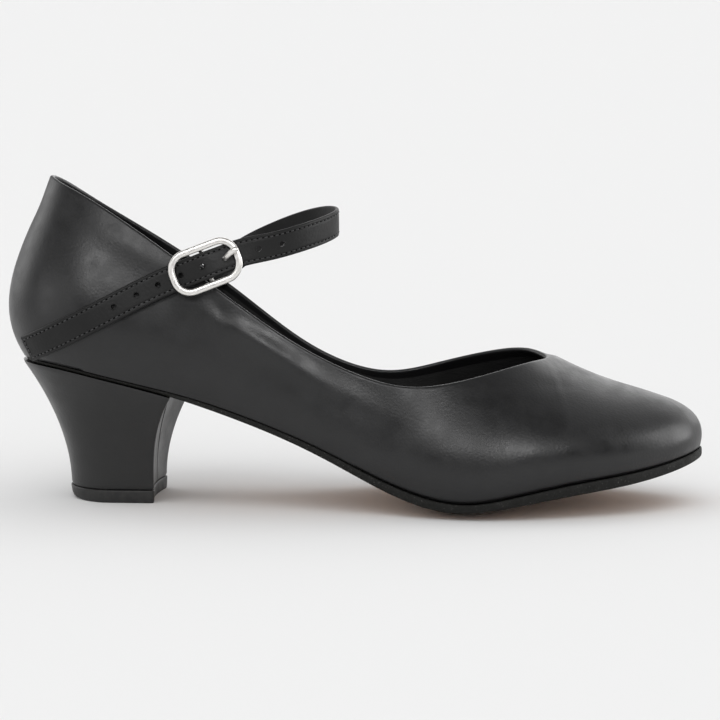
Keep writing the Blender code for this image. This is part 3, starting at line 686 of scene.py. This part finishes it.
def make_outsole(edge_finish, under_finish):
    """Outsole: black painted edge and a brushed underside."""
    welt = np.array(SOLE_WELT)

    def reach(x):
        return float(np.interp(x, welt[:, 0], welt[:, 1]))

    sections = plate_sections(reach, bed_bottom, bed_top, SOLE_EDGE, PLATE_STEP, SOLE_LINES)
    mesh = bmesh.new()
    add_grid(mesh, sections, closed=True)
    width = len(sections[0])
    under = range(SOLE_LINES + len(SOLE_EDGE) + 1, 2 * SOLE_LINES + len(SOLE_EDGE) - 2)
    for i, face in enumerate(mesh.faces):
        if i % width in under:
            face.material_index = 1
    finish_mesh("outsole_leather", mesh, [edge_finish, under_finish], ["outsole"])


def make_insole(finish):
    """Insole with its sock, slightly domed to its edges."""
    def under(x, y):
        return bed_top(x, y) + GAP + WALL + GAP

    def over(x, y):
        return under(x, y) + INSOLE_THICK

    def reach(_):
        return -(WALL + INSOLE_CLEARANCE)

    mesh = bmesh.new()
    add_grid(mesh, plate_sections(reach, under, over, SOCK_EDGE, PLATE_STEP, SOCK_LINES), closed=True)
    finish_mesh("insole_sock", mesh, [finish], ["insole"])


def resample(path, count):
    length = lengths_along(path)
    at = np.linspace(0, length[-1], count)
    return np.stack([np.interp(at, length, values) for values in np.transpose(path)], axis=1)


def lift_outline(count):
    """Outer corner of the lift, around its back, to its inner corner, by equal steps."""
    turn = LIFT_BACK + LIFT_RADIUS
    path = [np.array([LIFT_FRONT, -LIFT_CORNER_OUT])]
    for a in np.radians(np.linspace(-90, 90, 41)):
        path.append(np.array([turn - LIFT_RADIUS * math.cos(a), LIFT_RADIUS * math.sin(a)]))
    path.append(np.array([LIFT_FRONT, LIFT_CORNER_OUT]))
    return resample(path, count)


def seat_outline(count):
    """Rim of the heel's seat from the outer breast corner, around the back, to the inner one."""
    outer, inner = BREAST_ROWS
    path = [foot_place(row) + foot_normal(row) * HEEL_RIM for row in np.linspace(-outer, inner, 81)]
    return resample(path, count)


def hollow_line(first, last, depth, count):
    """The concave front between two corners, without its end points."""
    points = []
    for share in np.linspace(0, 1, count + 2)[1:-1]:
        x, y = first + (last - first) * share
        points.append(np.array([x - depth * math.sin(math.pi * share), y]))
    return np.array(points)


def heel_loop(height):
    """One level of the heel's wall. Height runs from 0 at the seat to 1 at the lift."""
    seat = seat_outline(WALL_POINTS)
    seat = np.concatenate([seat, hollow_line(seat[-1], seat[0], BREAST_HOLLOW_TOP, FRONT_POINTS)])
    lift = lift_outline(WALL_POINTS)
    lift = np.concatenate([lift, hollow_line(lift[-1], lift[0], BREAST_HOLLOW_BOTTOM, FRONT_POINTS)])
    outer, inner = BREAST_CURVES
    points = []
    for i, (high, low) in enumerate(zip(seat, lift)):
        if i < WALL_POINTS:
            round_the_back = 2 * i / (WALL_POINTS - 1) - 1
            corner = outer if round_the_back < 0 else inner
            curve = BACK_CURVE + (corner - BACK_CURVE) * round_the_back ** 2
        else:
            curve = inner + (outer - inner) * (i - WALL_POINTS + 1) / (FRONT_POINTS + 1)
        x = high[0] + (low[0] - high[0]) * (1 - (1 - height) ** curve)
        y = high[1] + (low[1] - high[1]) * (1 - (1 - height) ** SIDE_CURVE)
        seat_z = float(bed_bottom(high[0], high[1])) - GAP
        points.append((x, y, seat_z + (LIFT_HEIGHT + GAP - seat_z) * height))
    return points


def soften(loop, inset, corners):
    """A loop drawn in by a distance, with its sharp corners rounded by averaging."""
    line = np.array(loop)
    for _ in range(corners):
        line[:, :2] = (np.roll(line, 1, axis=0) + 2 * line + np.roll(line, -1, axis=0))[:, :2] / 4
    centre = line[:, :2].mean(axis=0)
    line[:, :2] -= unit(line[:, :2] - centre) * inset
    return line


def make_heel(finish):
    """Covered heel: the leather wraps the block and meets in a seam down the middle of the breast."""
    levels = []
    heights = np.linspace(0, 1, HEEL_STEPS + 1)
    seam = WALL_POINTS + FRONT_POINTS // 2
    for height in heights:
        rim = min(height, 1 - height) * HEEL_STEPS
        inset = HEEL_EDGE_INSET * max(0.0, 1 - rim) ** 2
        line = soften(heel_loop(height), inset, 2)
        line[seam, 0] -= SEAM_DEPTH
        for side in (-1, 1):
            line[seam + side, 1] = line[seam, 1] - side * SEAM_WIDTH / 2
            line[seam + 2 * side, 1] = line[seam, 1] - side * SEAM_WIDTH
            line[seam + 2 * side, 0] += SEAM_LIP
        levels.append([tuple(point) for point in line])

    def ring(loop, share, height_at):
        centre = np.mean(np.array(loop)[:, :2], axis=0)
        made = []
        for x, y, _ in loop:
            px, py = x + (centre[0] - x) * share, y + (centre[1] - y) * share
            made.append((px, py, height_at(px, py)))
        return made

    def seat(x, y):
        return float(bed_bottom(x, y)) - GAP

    def foot(_x, _y):
        return LIFT_HEIGHT + GAP

    top = [ring(levels[0], share, seat) for share in HEEL_TOP_CAP]
    bottom = [ring(levels[-1], share, foot) for share in HEEL_BOTTOM_CAP]
    mesh = bmesh.new()
    add_grid(mesh, top + levels + bottom, closed=True)
    finish_mesh("heel_wrap", mesh, [finish], ["heel"], smooth=38)


def make_top_lift(finish):
    """Wear piece under the heel, with its edges rounded and its back worn away."""
    flat = soften(heel_loop(1.0), 0.0, 2)
    centre = flat[:, :2].mean(axis=0)
    levels = []
    for values in LIFT_LEVELS:
        level = named(LIFT_LEVEL, values)
        loop = []
        for x, y, _ in flat:
            away = unit(np.array([x, y]) - centre)
            reach = level["out"] - level["worn"] * max(0.0, -away[0]) ** 2
            loop.append((x + away[0] * reach, y + away[1] * reach, level["z"]))
        levels.append(loop)
    mesh = bmesh.new()
    rings = add_grid(mesh, levels, closed=True)
    mesh.faces.new(rings[0])
    mesh.faces.new(rings[-1])
    finish_mesh("heel_lift", mesh, [finish], ["top_lift"], smooth=50)


def buckle_axes():
    """The buckle's own directions: along the strap, out of its plane, and across the strap."""
    turn = Matrix.Rotation(math.radians(BUCKLE_TURN), 3, "Z")
    pitch = Matrix.Rotation(math.radians(-BUCKLE_PITCH), 3, "Y")
    lean = Matrix.Rotation(math.radians(-BUCKLE_LEAN), 3, "X")
    spin = turn @ pitch @ lean
    return [np.array(spin @ Vector(axis)) for axis in ((1, 0, 0), (0, -1, 0), (0, 0, 1))]


def in_buckle(along, out, across):
    """A point from the buckle's own sizes."""
    a, o, c = buckle_axes()
    return np.array(BUCKLE_CENTRE) + a * along + o * out + c * across


def quarter_point(side, x, z):
    """Nearest place on one quarter's outer surface, seen from the side, and its outward normal."""
    rows = np.linspace(*QUARTER_ROWS, 61) * side
    shares = np.linspace(0, 1, 61)
    grid = np.array([wall_curve(row, shares) for row in rows])
    miss = (grid[..., 0] - x) ** 2 + (grid[..., 2] - z) ** 2
    i, j = np.unravel_index(np.argmin(miss), miss.shape)
    row, share = rows[i], shares[j]
    for _ in range(6):
        here = wall_curve(row, [share])[0]
        by_row = (wall_curve(row + NUDGE, [share])[0] - here) / NUDGE
        by_share = (wall_curve(row, [share + NUDGE])[0] - here) / NUDGE
        system = np.array([[by_row[0], by_share[0]], [by_row[2], by_share[2]]])
        change = np.linalg.solve(system, np.array([x - here[0], z - here[2]]))
        row, share = row + change[0], share + change[1]
    normal = unit(np.cross(by_row, by_share))
    if normal[1] * side < 0:
        normal = -normal
    return here, normal


def on_quarter(side, rows):
    """Strap points and their outward directions on a quarter."""
    made = []
    for values in rows:
        row = named(ON_QUARTER, values)
        place, normal = quarter_point(side, row["x"], row["z"])
        made.append((place + normal * row["lift"], normal))
    return made


def strap_rows():
    """The strap's middle line with its outward direction, from the free end to the sewn end."""
    _, out, _ = buckle_axes()
    rows = on_quarter(-1, STRAP_TAIL)
    for along, height in STRAP_IN_BUCKLE:
        rows.append((in_buckle(along, height, STRAP_RISE), out))
    middle = np.array([STRAP_LOOP[0][0] - LOOP_RADIUS, 0.0])
    for x, y, z in STRAP_LOOP:
        away = np.array([x, y]) - middle
        away = np.array([away[0] * LOOP_SQUEEZE, away[1]])
        rows.append((np.array([x, y, z]), np.array([*unit(away), 0.0])))
    rows += on_quarter(1, STRAP_SEWN)
    return rows


def strap_line(rows, count):
    """Even stations along the strap: place, direction, outward and across, and length from the buckle."""
    places = np.array([row[0] for row in rows])
    outs = np.array([row[1] for row in rows])
    keys = lengths_along(places)
    at = np.linspace(0, keys[-1], count)
    place = spline(keys, places, at)
    run = unit(spline(keys, places, at + NUDGE) - spline(keys, places, at - NUDGE))
    out = spline(keys, outs, at)
    out = unit(out - run * np.sum(out * run, axis=1, keepdims=True))
    across = np.cross(out, run)
    return place, run, out, across, at - keys[len(STRAP_TAIL) + 2]


def strap_section():
    """The strap's section, across and outward: folded edges and a sunk line under each row of stitches."""
    half = STRAP_WIDTH / 2
    thick = STRAP_THICK / 2
    fold_high = thick - 0.1
    face = half - STRAP_FACE_MARGIN
    points = []
    for a in np.radians(np.linspace(-90, 90, STRAP_FOLD_STEPS)):
        points.append((half - STRAP_FOLD + STRAP_FOLD * math.cos(a), fold_high * math.sin(a)))
    for wide in np.linspace(face, -face, STRAP_FACE_STEPS):
        groove = math.exp(-((abs(wide) - (half - STITCH_INSET)) / GROOVE_WIDTH) ** 2)
        dome = STRAP_DOME * math.cos(math.pi * wide / half / 1.6)
        points.append((wide, thick - STRAP_DOME - GROOVE_DEPTH * groove + dome))
    for a in np.radians(np.linspace(90, 270, STRAP_FOLD_STEPS)):
        points.append((STRAP_FOLD - half + STRAP_FOLD * math.cos(a), fold_high * math.sin(a)))
    for wide in np.linspace(-face, face, STRAP_FOLD_STEPS):
        points.append((wide, -fold_high))
    return points


def make_strap(finish, thread, needle_hole_shade):
    """The strap with punched holes, and its stitches."""
    rows = strap_rows()
    place, run, out, across, lengths = strap_line(rows, STRAP_SECTIONS)
    section = strap_section()
    rings = []
    for p, o, a in zip(place, out, across):
        rings.append([p + a * wide + o * deep for wide, deep in section])
    mesh = bmesh.new()
    verts = add_grid(mesh, rings, closed=True)
    mesh.faces.new(verts[0])
    mesh.faces.new(verts[-1])
    strap = finish_mesh("strap_band", mesh, [finish], ["strap"], smooth=50)

    punches = bmesh.new()
    rims = bmesh.new()
    for length in HOLES:
        i = int(np.argmin(np.abs(lengths - length)))
        turn = Matrix([[run[i][k], across[i][k], out[i][k]] for k in range(3)]).to_4x4()
        turn.translation = to_part(place[i])
        bmesh.ops.create_cone(punches, cap_ends=True, segments=24, radius1=HOLE_DIAMETER / 2 * MM,
                              radius2=HOLE_DIAMETER / 2 * MM, depth=4 * STRAP_THICK * MM, matrix=turn)
        ring = []
        for around in full_turn(24):
            spoke = run[i] * math.cos(around) + across[i] * math.sin(around)
            tube = []
            for angle in full_turn(8):
                reach = HOLE_DIAMETER / 2 + RIM_GAP + RIM_WIDE * math.cos(angle)
                tube.append(place[i] + spoke * reach + out[i] * (RIM_LEVEL + RIM_HIGH * math.sin(angle)))
            ring.append(tube)
        add_grid(rims, ring + ring[:1], closed=True)
    cutter = new_object("punches", new_data("punches", punches))
    cut = strap.modifiers.new("holes", "BOOLEAN")
    cut.operation = "DIFFERENCE"
    cut.object = cutter
    bpy.context.view_layer.update()
    made = bpy.data.meshes.new_from_object(strap.evaluated_get(bpy.context.evaluated_depsgraph_get()))
    strap.modifiers.clear()
    strap.data = made
    bpy.data.objects.remove(cutter)
    finish_mesh("strap_hole_rims", rims, [finish], [])
    make_strap_stitches(rows, thread, needle_hole_shade)


def add_stitch(mesh, centre, run, out, length):
    """One stitch of thread: a short round length, sunk at both ends."""
    side = np.cross(out, run)
    rings = []
    for share in np.linspace(-1, 1, 7):
        bow = math.sqrt(max(0.0, 1 - share ** 2))
        radius = STITCH_RADIUS * max(bow, 0.12) ** 0.5
        spot = centre + run * length / 2 * share + out * (0.16 * bow - 0.12)
        ring = []
        for angle in full_turn(8):
            ring.append(spot + side * radius * math.cos(angle) + out * radius * math.sin(angle))
        rings.append(ring)
    add_grid(mesh, rings, closed=True)


def add_needle_hole_shade(mesh, centre, run, out):
    """A flat near-black disc where the thread goes down: painted shade standing in for the needle hole."""
    side = np.cross(out, run)
    ring = []
    for angle in full_turn(8):
        spoke = run * math.cos(angle) + side * math.sin(angle)
        ring.append(mesh.verts.new(to_part(centre + spoke * NEEDLE_RADIUS)))
    mesh.faces.new(ring).material_index = 1


def make_strap_stitches(rows, thread, needle_hole_shade):
    """Both rows along the strap and one across its free end, with a disc of painted shade for the needle hole
    between stitches.
    """
    place, run, out, across, _ = strap_line(rows, STITCH_STATIONS)
    mesh = bmesh.new()
    offset = STRAP_WIDTH / 2 - STITCH_INSET
    deep = STRAP_THICK / 2 - STITCH_SINK
    for side in (-1, 1):
        line = place + across * offset * side + out * deep
        length = lengths_along(line)
        for at in np.arange(STITCH_START, length[-1] - STITCH_END, STITCH_PITCH):
            i = int(np.searchsorted(length, at))
            add_stitch(mesh, line[i], run[i], out[i], STITCH_LENGTH)
            i = int(np.searchsorted(length, at + STITCH_PITCH / 2))
            # A flat disc of painted shade marks the needle hole.
            add_needle_hole_shade(mesh, line[i] - out[i] * 0.01, run[i], out[i])
    i = END_STITCH_STATION
    for wide in np.linspace(-offset, offset, 6)[1:-1]:
        stitch = place[i] + across[i] * wide + out[i] * (STRAP_THICK / 2 - END_STITCH_SINK)
        add_stitch(mesh, stitch, across[i], out[i], END_STITCH_LENGTH)
        hole = place[i] + across[i] * (wide + offset / 5) + out[i] * (STRAP_THICK / 2 + END_STITCH_SINK)
        add_needle_hole_shade(mesh, hole, across[i], out[i])
    finish_mesh("strap_stitches", mesh, [thread, needle_hole_shade], [])


def sweep(points, section, cyclic, taper=None):
    """Rings of a section carried along points in the buckle's own sizes."""
    points = np.array(points, float)
    if cyclic:
        run = unit(np.roll(points, -1, axis=0) - np.roll(points, 1, axis=0))
    else:
        run = unit(np.gradient(points, axis=0))
    rings = []
    for i, (point, way) in enumerate(zip(points, run)):
        guide = (0.0, 1.0, 0.0) if abs(way[1]) < 0.9 else (1.0, 0.0, 0.0)
        side = unit(np.cross(way, guide))
        up = np.cross(side, way)
        size = taper[i] if taper is not None else 1.0
        rings.append([in_buckle(*(point + side * wide * size + up * high * size)) for wide, high in section])
    return rings


def round_section(radius, count=16):
    return [(radius * math.cos(a), radius * math.sin(a)) for a in full_turn(count)]


def prong_section():
    return [(PRONG_WIDE * wide, high) for wide, high in round_section(PRONG_RADIUS + 0.05, 20)]


def frame_section():
    """The frame's section: a flattened round with a fine groove along its front."""
    points = []
    for angle in full_turn(64):
        wide = FRAME_WIDE * math.copysign(abs(math.cos(angle)) ** FRAME_SQUARE_WIDE, math.cos(angle))
        high = FRAME_DEEP * math.copysign(abs(math.sin(angle)) ** FRAME_SQUARE_DEEP, math.sin(angle))
        if high < 0:
            high += FRAME_GROOVE_DEPTH * math.exp(-((wide - FRAME_GROOVE_PLACE) / FRAME_GROOVE_WIDTH) ** 2)
        points.append((wide, high))
    return points


def frame_outline():
    """Middle of the frame's wire: a rectangle with round corners."""
    wide = BUCKLE_LENGTH / 2 - WIRE_RADIUS
    tall = BUCKLE_WIDTH / 2 - WIRE_RADIUS
    points = []
    for quarter, (sx, sy) in enumerate(((1, 1), (-1, 1), (-1, -1), (1, -1))):
        for a in np.radians(np.linspace(0, 90, FRAME_CORNER_STEPS) + 90 * quarter):
            points.append((sx * (wide - BUCKLE_CORNER) + BUCKLE_CORNER * math.cos(a), 0.0,
                           sy * (tall - BUCKLE_CORNER) + BUCKLE_CORNER * math.sin(a)))
    return resample(points + points[:1], FRAME_STEPS)[:-1]


def make_buckle(metal):
    """Frame with its centre bar, and the prong over it."""
    mesh = bmesh.new()
    rings = sweep(frame_outline(), frame_section(), True)
    add_grid(mesh, rings + rings[:1], closed=True)
    tall = BUCKLE_WIDTH / 2 - WIRE_RADIUS
    side = STRAP_WIDTH / 2 + STRAP_RISE + BAR_RADIUS
    half = [(0.0, -0.3, tall), (0.0, 0.5 - BAR_DROP, side + 0.3), (0.0, -BAR_DROP, side - 0.4)]
    other_half = [(along, out, -across) for along, out, across in reversed(half)]
    path = resample(half + [(0.0, -BAR_DROP, 0.0)] + other_half, BAR_STEPS)
    for _ in range(BAR_SOFTENING):
        path[1:-1] = (path[:-2] + 2 * path[1:-1] + path[2:]) / 4
    add_grid(mesh, sweep(path, round_section(BAR_RADIUS), False), closed=True)
    finish_mesh("buckle_ring", mesh, [metal], ["buckle_frame"], smooth=60)

    front = BUCKLE_LENGTH / 2 - WIRE_RADIUS
    over = WIRE_RADIUS + PRONG_RADIUS + GAP
    start = BAR_RADIUS + PRONG_RADIUS + GAP
    keys = np.array([
        (start, -BAR_DROP, 0.0),
        (PRONG_HOLE - 2.6, -BAR_DROP - 0.2, 0.0),
        (PRONG_HOLE - 0.8, -BAR_DROP - 0.1, 0.0),
        (PRONG_HOLE - 0.1, -BAR_DROP + 0.5, 0.0),
        (PRONG_HOLE, -1.6, 0.0),
        (PRONG_HOLE + 0.3, -0.4, 0.1),
        (PRONG_HOLE + 1.6, over - 1.1, 0.5),
        (front - 0.6, over, 1.3),
        (front + 1.4, over - 0.1, 1.6),
    ])
    keys[:, 2] += STRAP_RISE
    lengths = lengths_along(keys)
    path = spline(lengths, keys, np.linspace(0, lengths[-1], PRONG_STEPS))
    taper = np.ones(PRONG_STEPS)
    taper[-PRONG_TIP_STEPS:] = np.sqrt(np.maximum(1 - np.linspace(0, 1, PRONG_TIP_STEPS) ** 2, 0.0))
    taper[:len(PRONG_START_SIZES)] = PRONG_START_SIZES
    mesh = bmesh.new()
    add_grid(mesh, sweep(path, prong_section(), False, taper), closed=True)
    finish_mesh("buckle_tongue", mesh, [metal], ["buckle_prong"], smooth=60)


def make_buckle_tab(finish):
    """Tab: round the centre bar and down on to the outer quarter, slotted for the prong."""
    inner = BAR_RADIUS + GAP
    outer = inner + TAB_THICK
    place, normal = quarter_point(-1, *TAB_END)
    end = place + normal * (GAP + TAB_LIFT + TAB_THICK / 2)
    along, out, across = buckle_axes()
    centre = in_buckle(0, -BAR_DROP, STRAP_RISE)
    away = end - centre
    end_along = away @ along
    end_out = away @ out
    half = TAB_THICK / 2
    angles = np.radians(np.linspace(-TAB_WRAP, TAB_WRAP, TAB_WRAP_STEPS))
    around = np.stack([np.cos(angles), np.sin(angles)], axis=1)
    rim = outer * around
    bore = inner * around
    lower = resample([rim[0], (end_along, end_out - half)], TAB_STEPS)[1:]
    upper = resample([rim[-1], (end_along, end_out + half)], TAB_STEPS)[1:]
    wide = TAB_WIDTH / 2
    slot = TAB_SLOT / 2

    def sections(line_a, line_b, left, right):
        made = []
        for a, b in zip(line_a, line_b):
            corners = ((a, left), (a, right), (b, right), (b, left))
            made.append([centre + along * s + out * w + across * side for (s, w), side in corners])
        return made

    mesh = bmesh.new()
    add_grid(mesh, sections(rim, bore, -wide, -slot), closed=True)
    add_grid(mesh, sections(rim, bore, slot, wide), closed=True)
    verts = add_grid(mesh, sections(upper, lower, -wide, wide), closed=True)
    mesh.faces.new(verts[0])
    mesh.faces.new(verts[-1])
    finish_mesh("buckle_keeper_tab", mesh, [finish], ["buckle_tab"], smooth=40)


def new_material(name, colour, roughness, **sockets):
    made = bpy.data.materials.new(name)
    made.use_nodes = True
    shader = made.node_tree.nodes["Principled BSDF"]
    shader.inputs["Base Color"].default_value = (*colour, 1)
    shader.inputs["Roughness"].default_value = roughness
    for socket, value in sockets.items():
        shader.inputs[socket.replace("_", " ")].default_value = value
    return made, shader


def node(material, kind, **values):
    made = material.node_tree.nodes.new(kind)
    for key, value in values.items():
        if key in made.inputs:
            made.inputs[key].default_value = value
        else:
            setattr(made, key, value)
    return made


def link(material, source, target):
    material.node_tree.links.new(source, target)


def noise(material, scale, detail=4.0, roughness=0.55):
    """Noise in the part's own metres; its factor is the output."""
    place = node(material, "ShaderNodeTexCoord")
    made = node(material, "ShaderNodeTexNoise", Scale=scale, Detail=detail, Roughness=roughness)
    link(material, place.outputs["Object"], made.inputs["Vector"])
    return made.outputs["Fac"]


def set_range(made, low, high, to_low, to_high):
    for socket, value in (("From Min", low), ("From Max", high), ("To Min", to_low), ("To Max", to_high)):
        made.inputs[socket].default_value = value


def spread(material, source, low, high, to_low, to_high):
    made = node(material, "ShaderNodeMapRange")
    set_range(made, low, high, to_low, to_high)
    link(material, source, made.inputs["Value"])
    return made.outputs["Result"]


def grey(level):
    return level, level, level


def vary_colour(material, shader, factor, first, second):
    """Base colour between two colours, by a factor from 0 to 1."""
    made = material.node_tree.nodes.new("ShaderNodeMix")
    made.data_type = "RGBA"
    made.inputs[6].default_value = (*first, 1)
    made.inputs[7].default_value = (*second, 1)
    link(material, factor, made.inputs[0])
    link(material, made.outputs[2], shader.inputs["Base Color"])


def bump(material, shader, layers):
    """Stack bump layers: height source, strength and depth in metres."""
    last = None
    for source, strength, depth in layers:
        made = node(material, "ShaderNodeBump", Strength=strength, Distance=depth)
        link(material, source, made.inputs["Height"])
        if last:
            link(material, last, made.inputs["Normal"])
        last = made.outputs["Normal"]
    link(material, last, shader.inputs["Normal"])


def grain(material, scale):
    """Pebbles of a leather's grain."""
    place = node(material, "ShaderNodeTexCoord")
    made = node(material, "ShaderNodeTexVoronoi", Scale=scale)
    made.feature = "SMOOTH_F1"
    link(material, place.outputs["Object"], made.inputs["Vector"])
    return made.outputs["Distance"]


def vary_roughness(material, shader, scale, detail, low, high, edge=0.3):
    """Roughness in soft patches between two values."""
    patches = spread(material, noise(material, scale, detail), edge, 1 - edge, low, high)
    link(material, patches, shader.inputs["Roughness"])


def leather(name, dark, light, rough, coat, pebble, strength, gloss=0.5):
    """Leather between two colours and two roughnesses, with pebbles so many to the metre."""
    made, shader = new_material(name, dark, rough[0], Coat_Weight=coat, Coat_Roughness=0.32,
                                Specular_IOR_Level=gloss)
    vary_colour(made, shader, spread(made, noise(made, 45, 3), 0.35, 0.65, 0, 1), dark, light)
    vary_roughness(made, shader, 160, 5, *rough, edge=0.35)
    bump(made, shader, ((grain(made, pebble), strength, 0.00012),
                        (noise(made, pebble * 1.7, 3), strength * 0.6, 0.00006),
                        (noise(made, 45, 2), 0.12, 0.0002)))
    return made


def build_materials():
    made = {
        "upper": leather("black_upper_leather", (0.0055, 0.0055, 0.006), (0.009, 0.009, 0.0095),
                         (0.34, 0.44), 0.06, 1150, 0.3),
        "lining": leather("black_lining", grey(0.016), grey(0.024), (0.6, 0.75), 0.0, 1000, 0.5),
        "heel": leather("heel_cover_leather", grey(0.0055), grey(0.009), (0.34, 0.44), 0.06, 1150, 0.3),
        "strap": leather("strap_leather", grey(0.004), grey(0.007), (0.42, 0.54), 0.03, 1150, 0.5, 0.3),
        "sock": leather("insole_sock", grey(0.016), grey(0.026), (0.6, 0.75), 0.0, 900, 0.5),
    }

    thread, shader = new_material("stitch_thread", (0.03, 0.03, 0.031), 0.42)
    bump(thread, shader, ((noise(thread, 3000, 2), 0.5, 0.0001),))
    vary_roughness(thread, shader, 900, 2, 0.34, 0.5)
    made["thread"] = thread

    # Painted shade: a near-black finish with almost no reflection, for the discs that stand in for the shade
    # in the needle holes.
    needle_shade_finish, shader = new_material("needle_hole_shade", grey(0.001), 0.9, Specular_IOR_Level=0.05)
    vary_roughness(needle_shade_finish, shader, 900, 2, 0.8, 1.0)
    made["needle_hole_shade"] = needle_shade_finish

    edge, shader = new_material("sole_edge_paint", grey(0.01), 0.62, Specular_IOR_Level=0.22)
    specks = noise(edge, 1600, 3, 0.7)
    vary_colour(edge, shader, spread(edge, specks, 0.62, 0.70, 0, 1),
                (0.008, 0.008, 0.007), (0.10, 0.095, 0.09))
    vary_roughness(edge, shader, 300, 4, 0.5, 0.75)
    bump(edge, shader, ((noise(edge, 1500, 4, 0.7), 0.8, 0.0003), (noise(edge, 300, 3), 0.4, 0.0004)))
    made["sole_edge"] = edge

    suede, shader = new_material("sole_suede", (0.42, 0.24, 0.13), 0.85, Sheen_Weight=0.15)
    nap = noise(suede, 90, 6, 0.7)
    vary_colour(suede, shader, spread(suede, nap, 0.3, 0.7, 0, 1), (0.30, 0.16, 0.085), (0.50, 0.30, 0.17))
    vary_roughness(suede, shader, 500, 4, 0.75, 0.95)
    bump(suede, shader, ((noise(suede, 2200, 3, 0.7), 0.6, 0.00025), (nap, 0.3, 0.0004)))
    made["suede"] = suede

    rubber, shader = new_material("lift_rubber", grey(0.012), 0.5)
    vary_colour(rubber, shader, spread(rubber, noise(rubber, 400, 4), 0.4, 0.7, 0, 1),
                grey(0.011), (0.022, 0.021, 0.02))
    vary_roughness(rubber, shader, 250, 4, 0.42, 0.62)
    bump(rubber, shader, ((noise(rubber, 1200, 4), 0.4, 0.00015),))
    made["rubber"] = rubber

    metal, shader = new_material("nickel_plate", (0.80, 0.77, 0.73), 0.2, Metallic=1.0)
    vary_colour(metal, shader, noise(metal, 300, 3), (0.80, 0.78, 0.75), (0.90, 0.885, 0.86))
    vary_roughness(metal, shader, 700, 4, 0.33, 0.42)
    bump(metal, shader, ((noise(metal, 500, 2), 0.05, 0.0001),))
    made["metal"] = metal
    return made


def add_stage(name, mesh, finish):
    """An object that isn't part of the shoe."""
    data = new_data(name, mesh)
    data.materials.append(finish)
    made = new_object(name, data)
    return made


def build_stage():
    """A plain pale floor, and a backdrop all round it of the same tone that casts no light."""
    mesh = bmesh.new()
    bmesh.ops.create_circle(mesh, cap_ends=True, segments=64, radius=STAGE_RADIUS)
    paper, _ = new_material("pale_floor", grey(FLOOR_TONE), 0.9, Specular_IOR_Level=0.0)
    add_stage("floor", mesh, paper)

    mesh = bmesh.new()
    bmesh.ops.create_uvsphere(mesh, u_segments=48, v_segments=24, radius=STAGE_RADIUS)
    pale, shader = new_material("pale_backdrop", grey(0), 1.0, Specular_IOR_Level=0.0)
    shader.inputs["Emission Color"].default_value = (*grey(BACKDROP_TONE), 1)
    shader.inputs["Emission Strength"].default_value = 1.0
    dome = add_stage("backdrop", mesh, pale)
    dome.visible_diffuse = False
    dome.visible_glossy = False
    dome.visible_transmission = False
    dome.visible_shadow = False


def build_camera():
    """The photograph's angle: nearly square to the outer side, from a little above."""
    azimuth = math.radians(CAMERA_AZIMUTH)
    elevation = math.radians(CAMERA_ELEVATION)
    back = Vector((math.sin(azimuth) * math.cos(elevation), -math.cos(azimuth) * math.cos(elevation),
                   math.sin(elevation)))
    data = bpy.data.cameras.new("camera")
    data.sensor_width = 36
    data.lens = CAMERA_LENS
    data.clip_start = 0.05
    data.clip_end = 50
    camera = new_object("camera", data)
    camera.location = Vector(CAMERA_AIM) + back
    camera.rotation_euler = back.to_track_quat("Z", "Y").to_euler()
    bpy.context.scene.camera = camera


def build_lights():
    for values in LIGHTS:
        light = dict(zip(LIGHT, values))
        data = bpy.data.lights.new(light["name"], "AREA")
        data.shape = "RECTANGLE"
        data.size = light["width"]
        data.size_y = light["height"]
        data.energy = light["watts"]
        made = new_object(light["name"], data)
        made.visible_diffuse = False
        made.location = light["place"]
        away = Vector(light["place"]) - Vector((0.0, 0.0, light["aim"]))
        made.rotation_euler = away.to_track_quat("Z", "Y").to_euler()
    for name, place, strength in DAYLIGHT:
        data = bpy.data.lights.new(name, "SUN")
        data.energy = strength
        data.angle = math.radians(DAYLIGHT_WIDTH)
        made = new_object(name, data)
        made.rotation_euler = Vector(place).to_track_quat("Z", "Y").to_euler()
        made.visible_glossy = False
    world = bpy.data.worlds.new("studio")
    bpy.context.scene.world = world
    world.use_nodes = True
    nodes = world.node_tree.nodes
    nodes["Background"].inputs["Color"].default_value = (1, 1, 1, 1)
    way = nodes.new("ShaderNodeTexCoord")
    split = nodes.new("ShaderNodeSeparateXYZ")
    shade = nodes.new("ShaderNodeMapRange")
    set_range(shade, -STUDIO_TURN, STUDIO_TURN, STUDIO_FRONT, STUDIO_BACK)
    shade.interpolation_type = "SMOOTHSTEP"
    world.node_tree.links.new(way.outputs["Generated"], split.inputs["Vector"])
    world.node_tree.links.new(split.outputs["Y"], shade.inputs["Value"])
    world.node_tree.links.new(shade.outputs["Result"], nodes["Background"].inputs["Strength"])


materials = build_materials()
make_upper(materials["upper"], materials["lining"])
make_outsole(materials["sole_edge"], materials["suede"])
make_insole(materials["sock"])
make_heel(materials["heel"])
make_top_lift(materials["rubber"])
make_strap(materials["strap"], materials["thread"], materials["needle_hole_shade"])
make_buckle(materials["metal"])
make_buckle_tab(materials["strap"])
build_stage()
build_camera()
build_lights()
bpy.context.scene.view_settings.view_transform = "Standard"
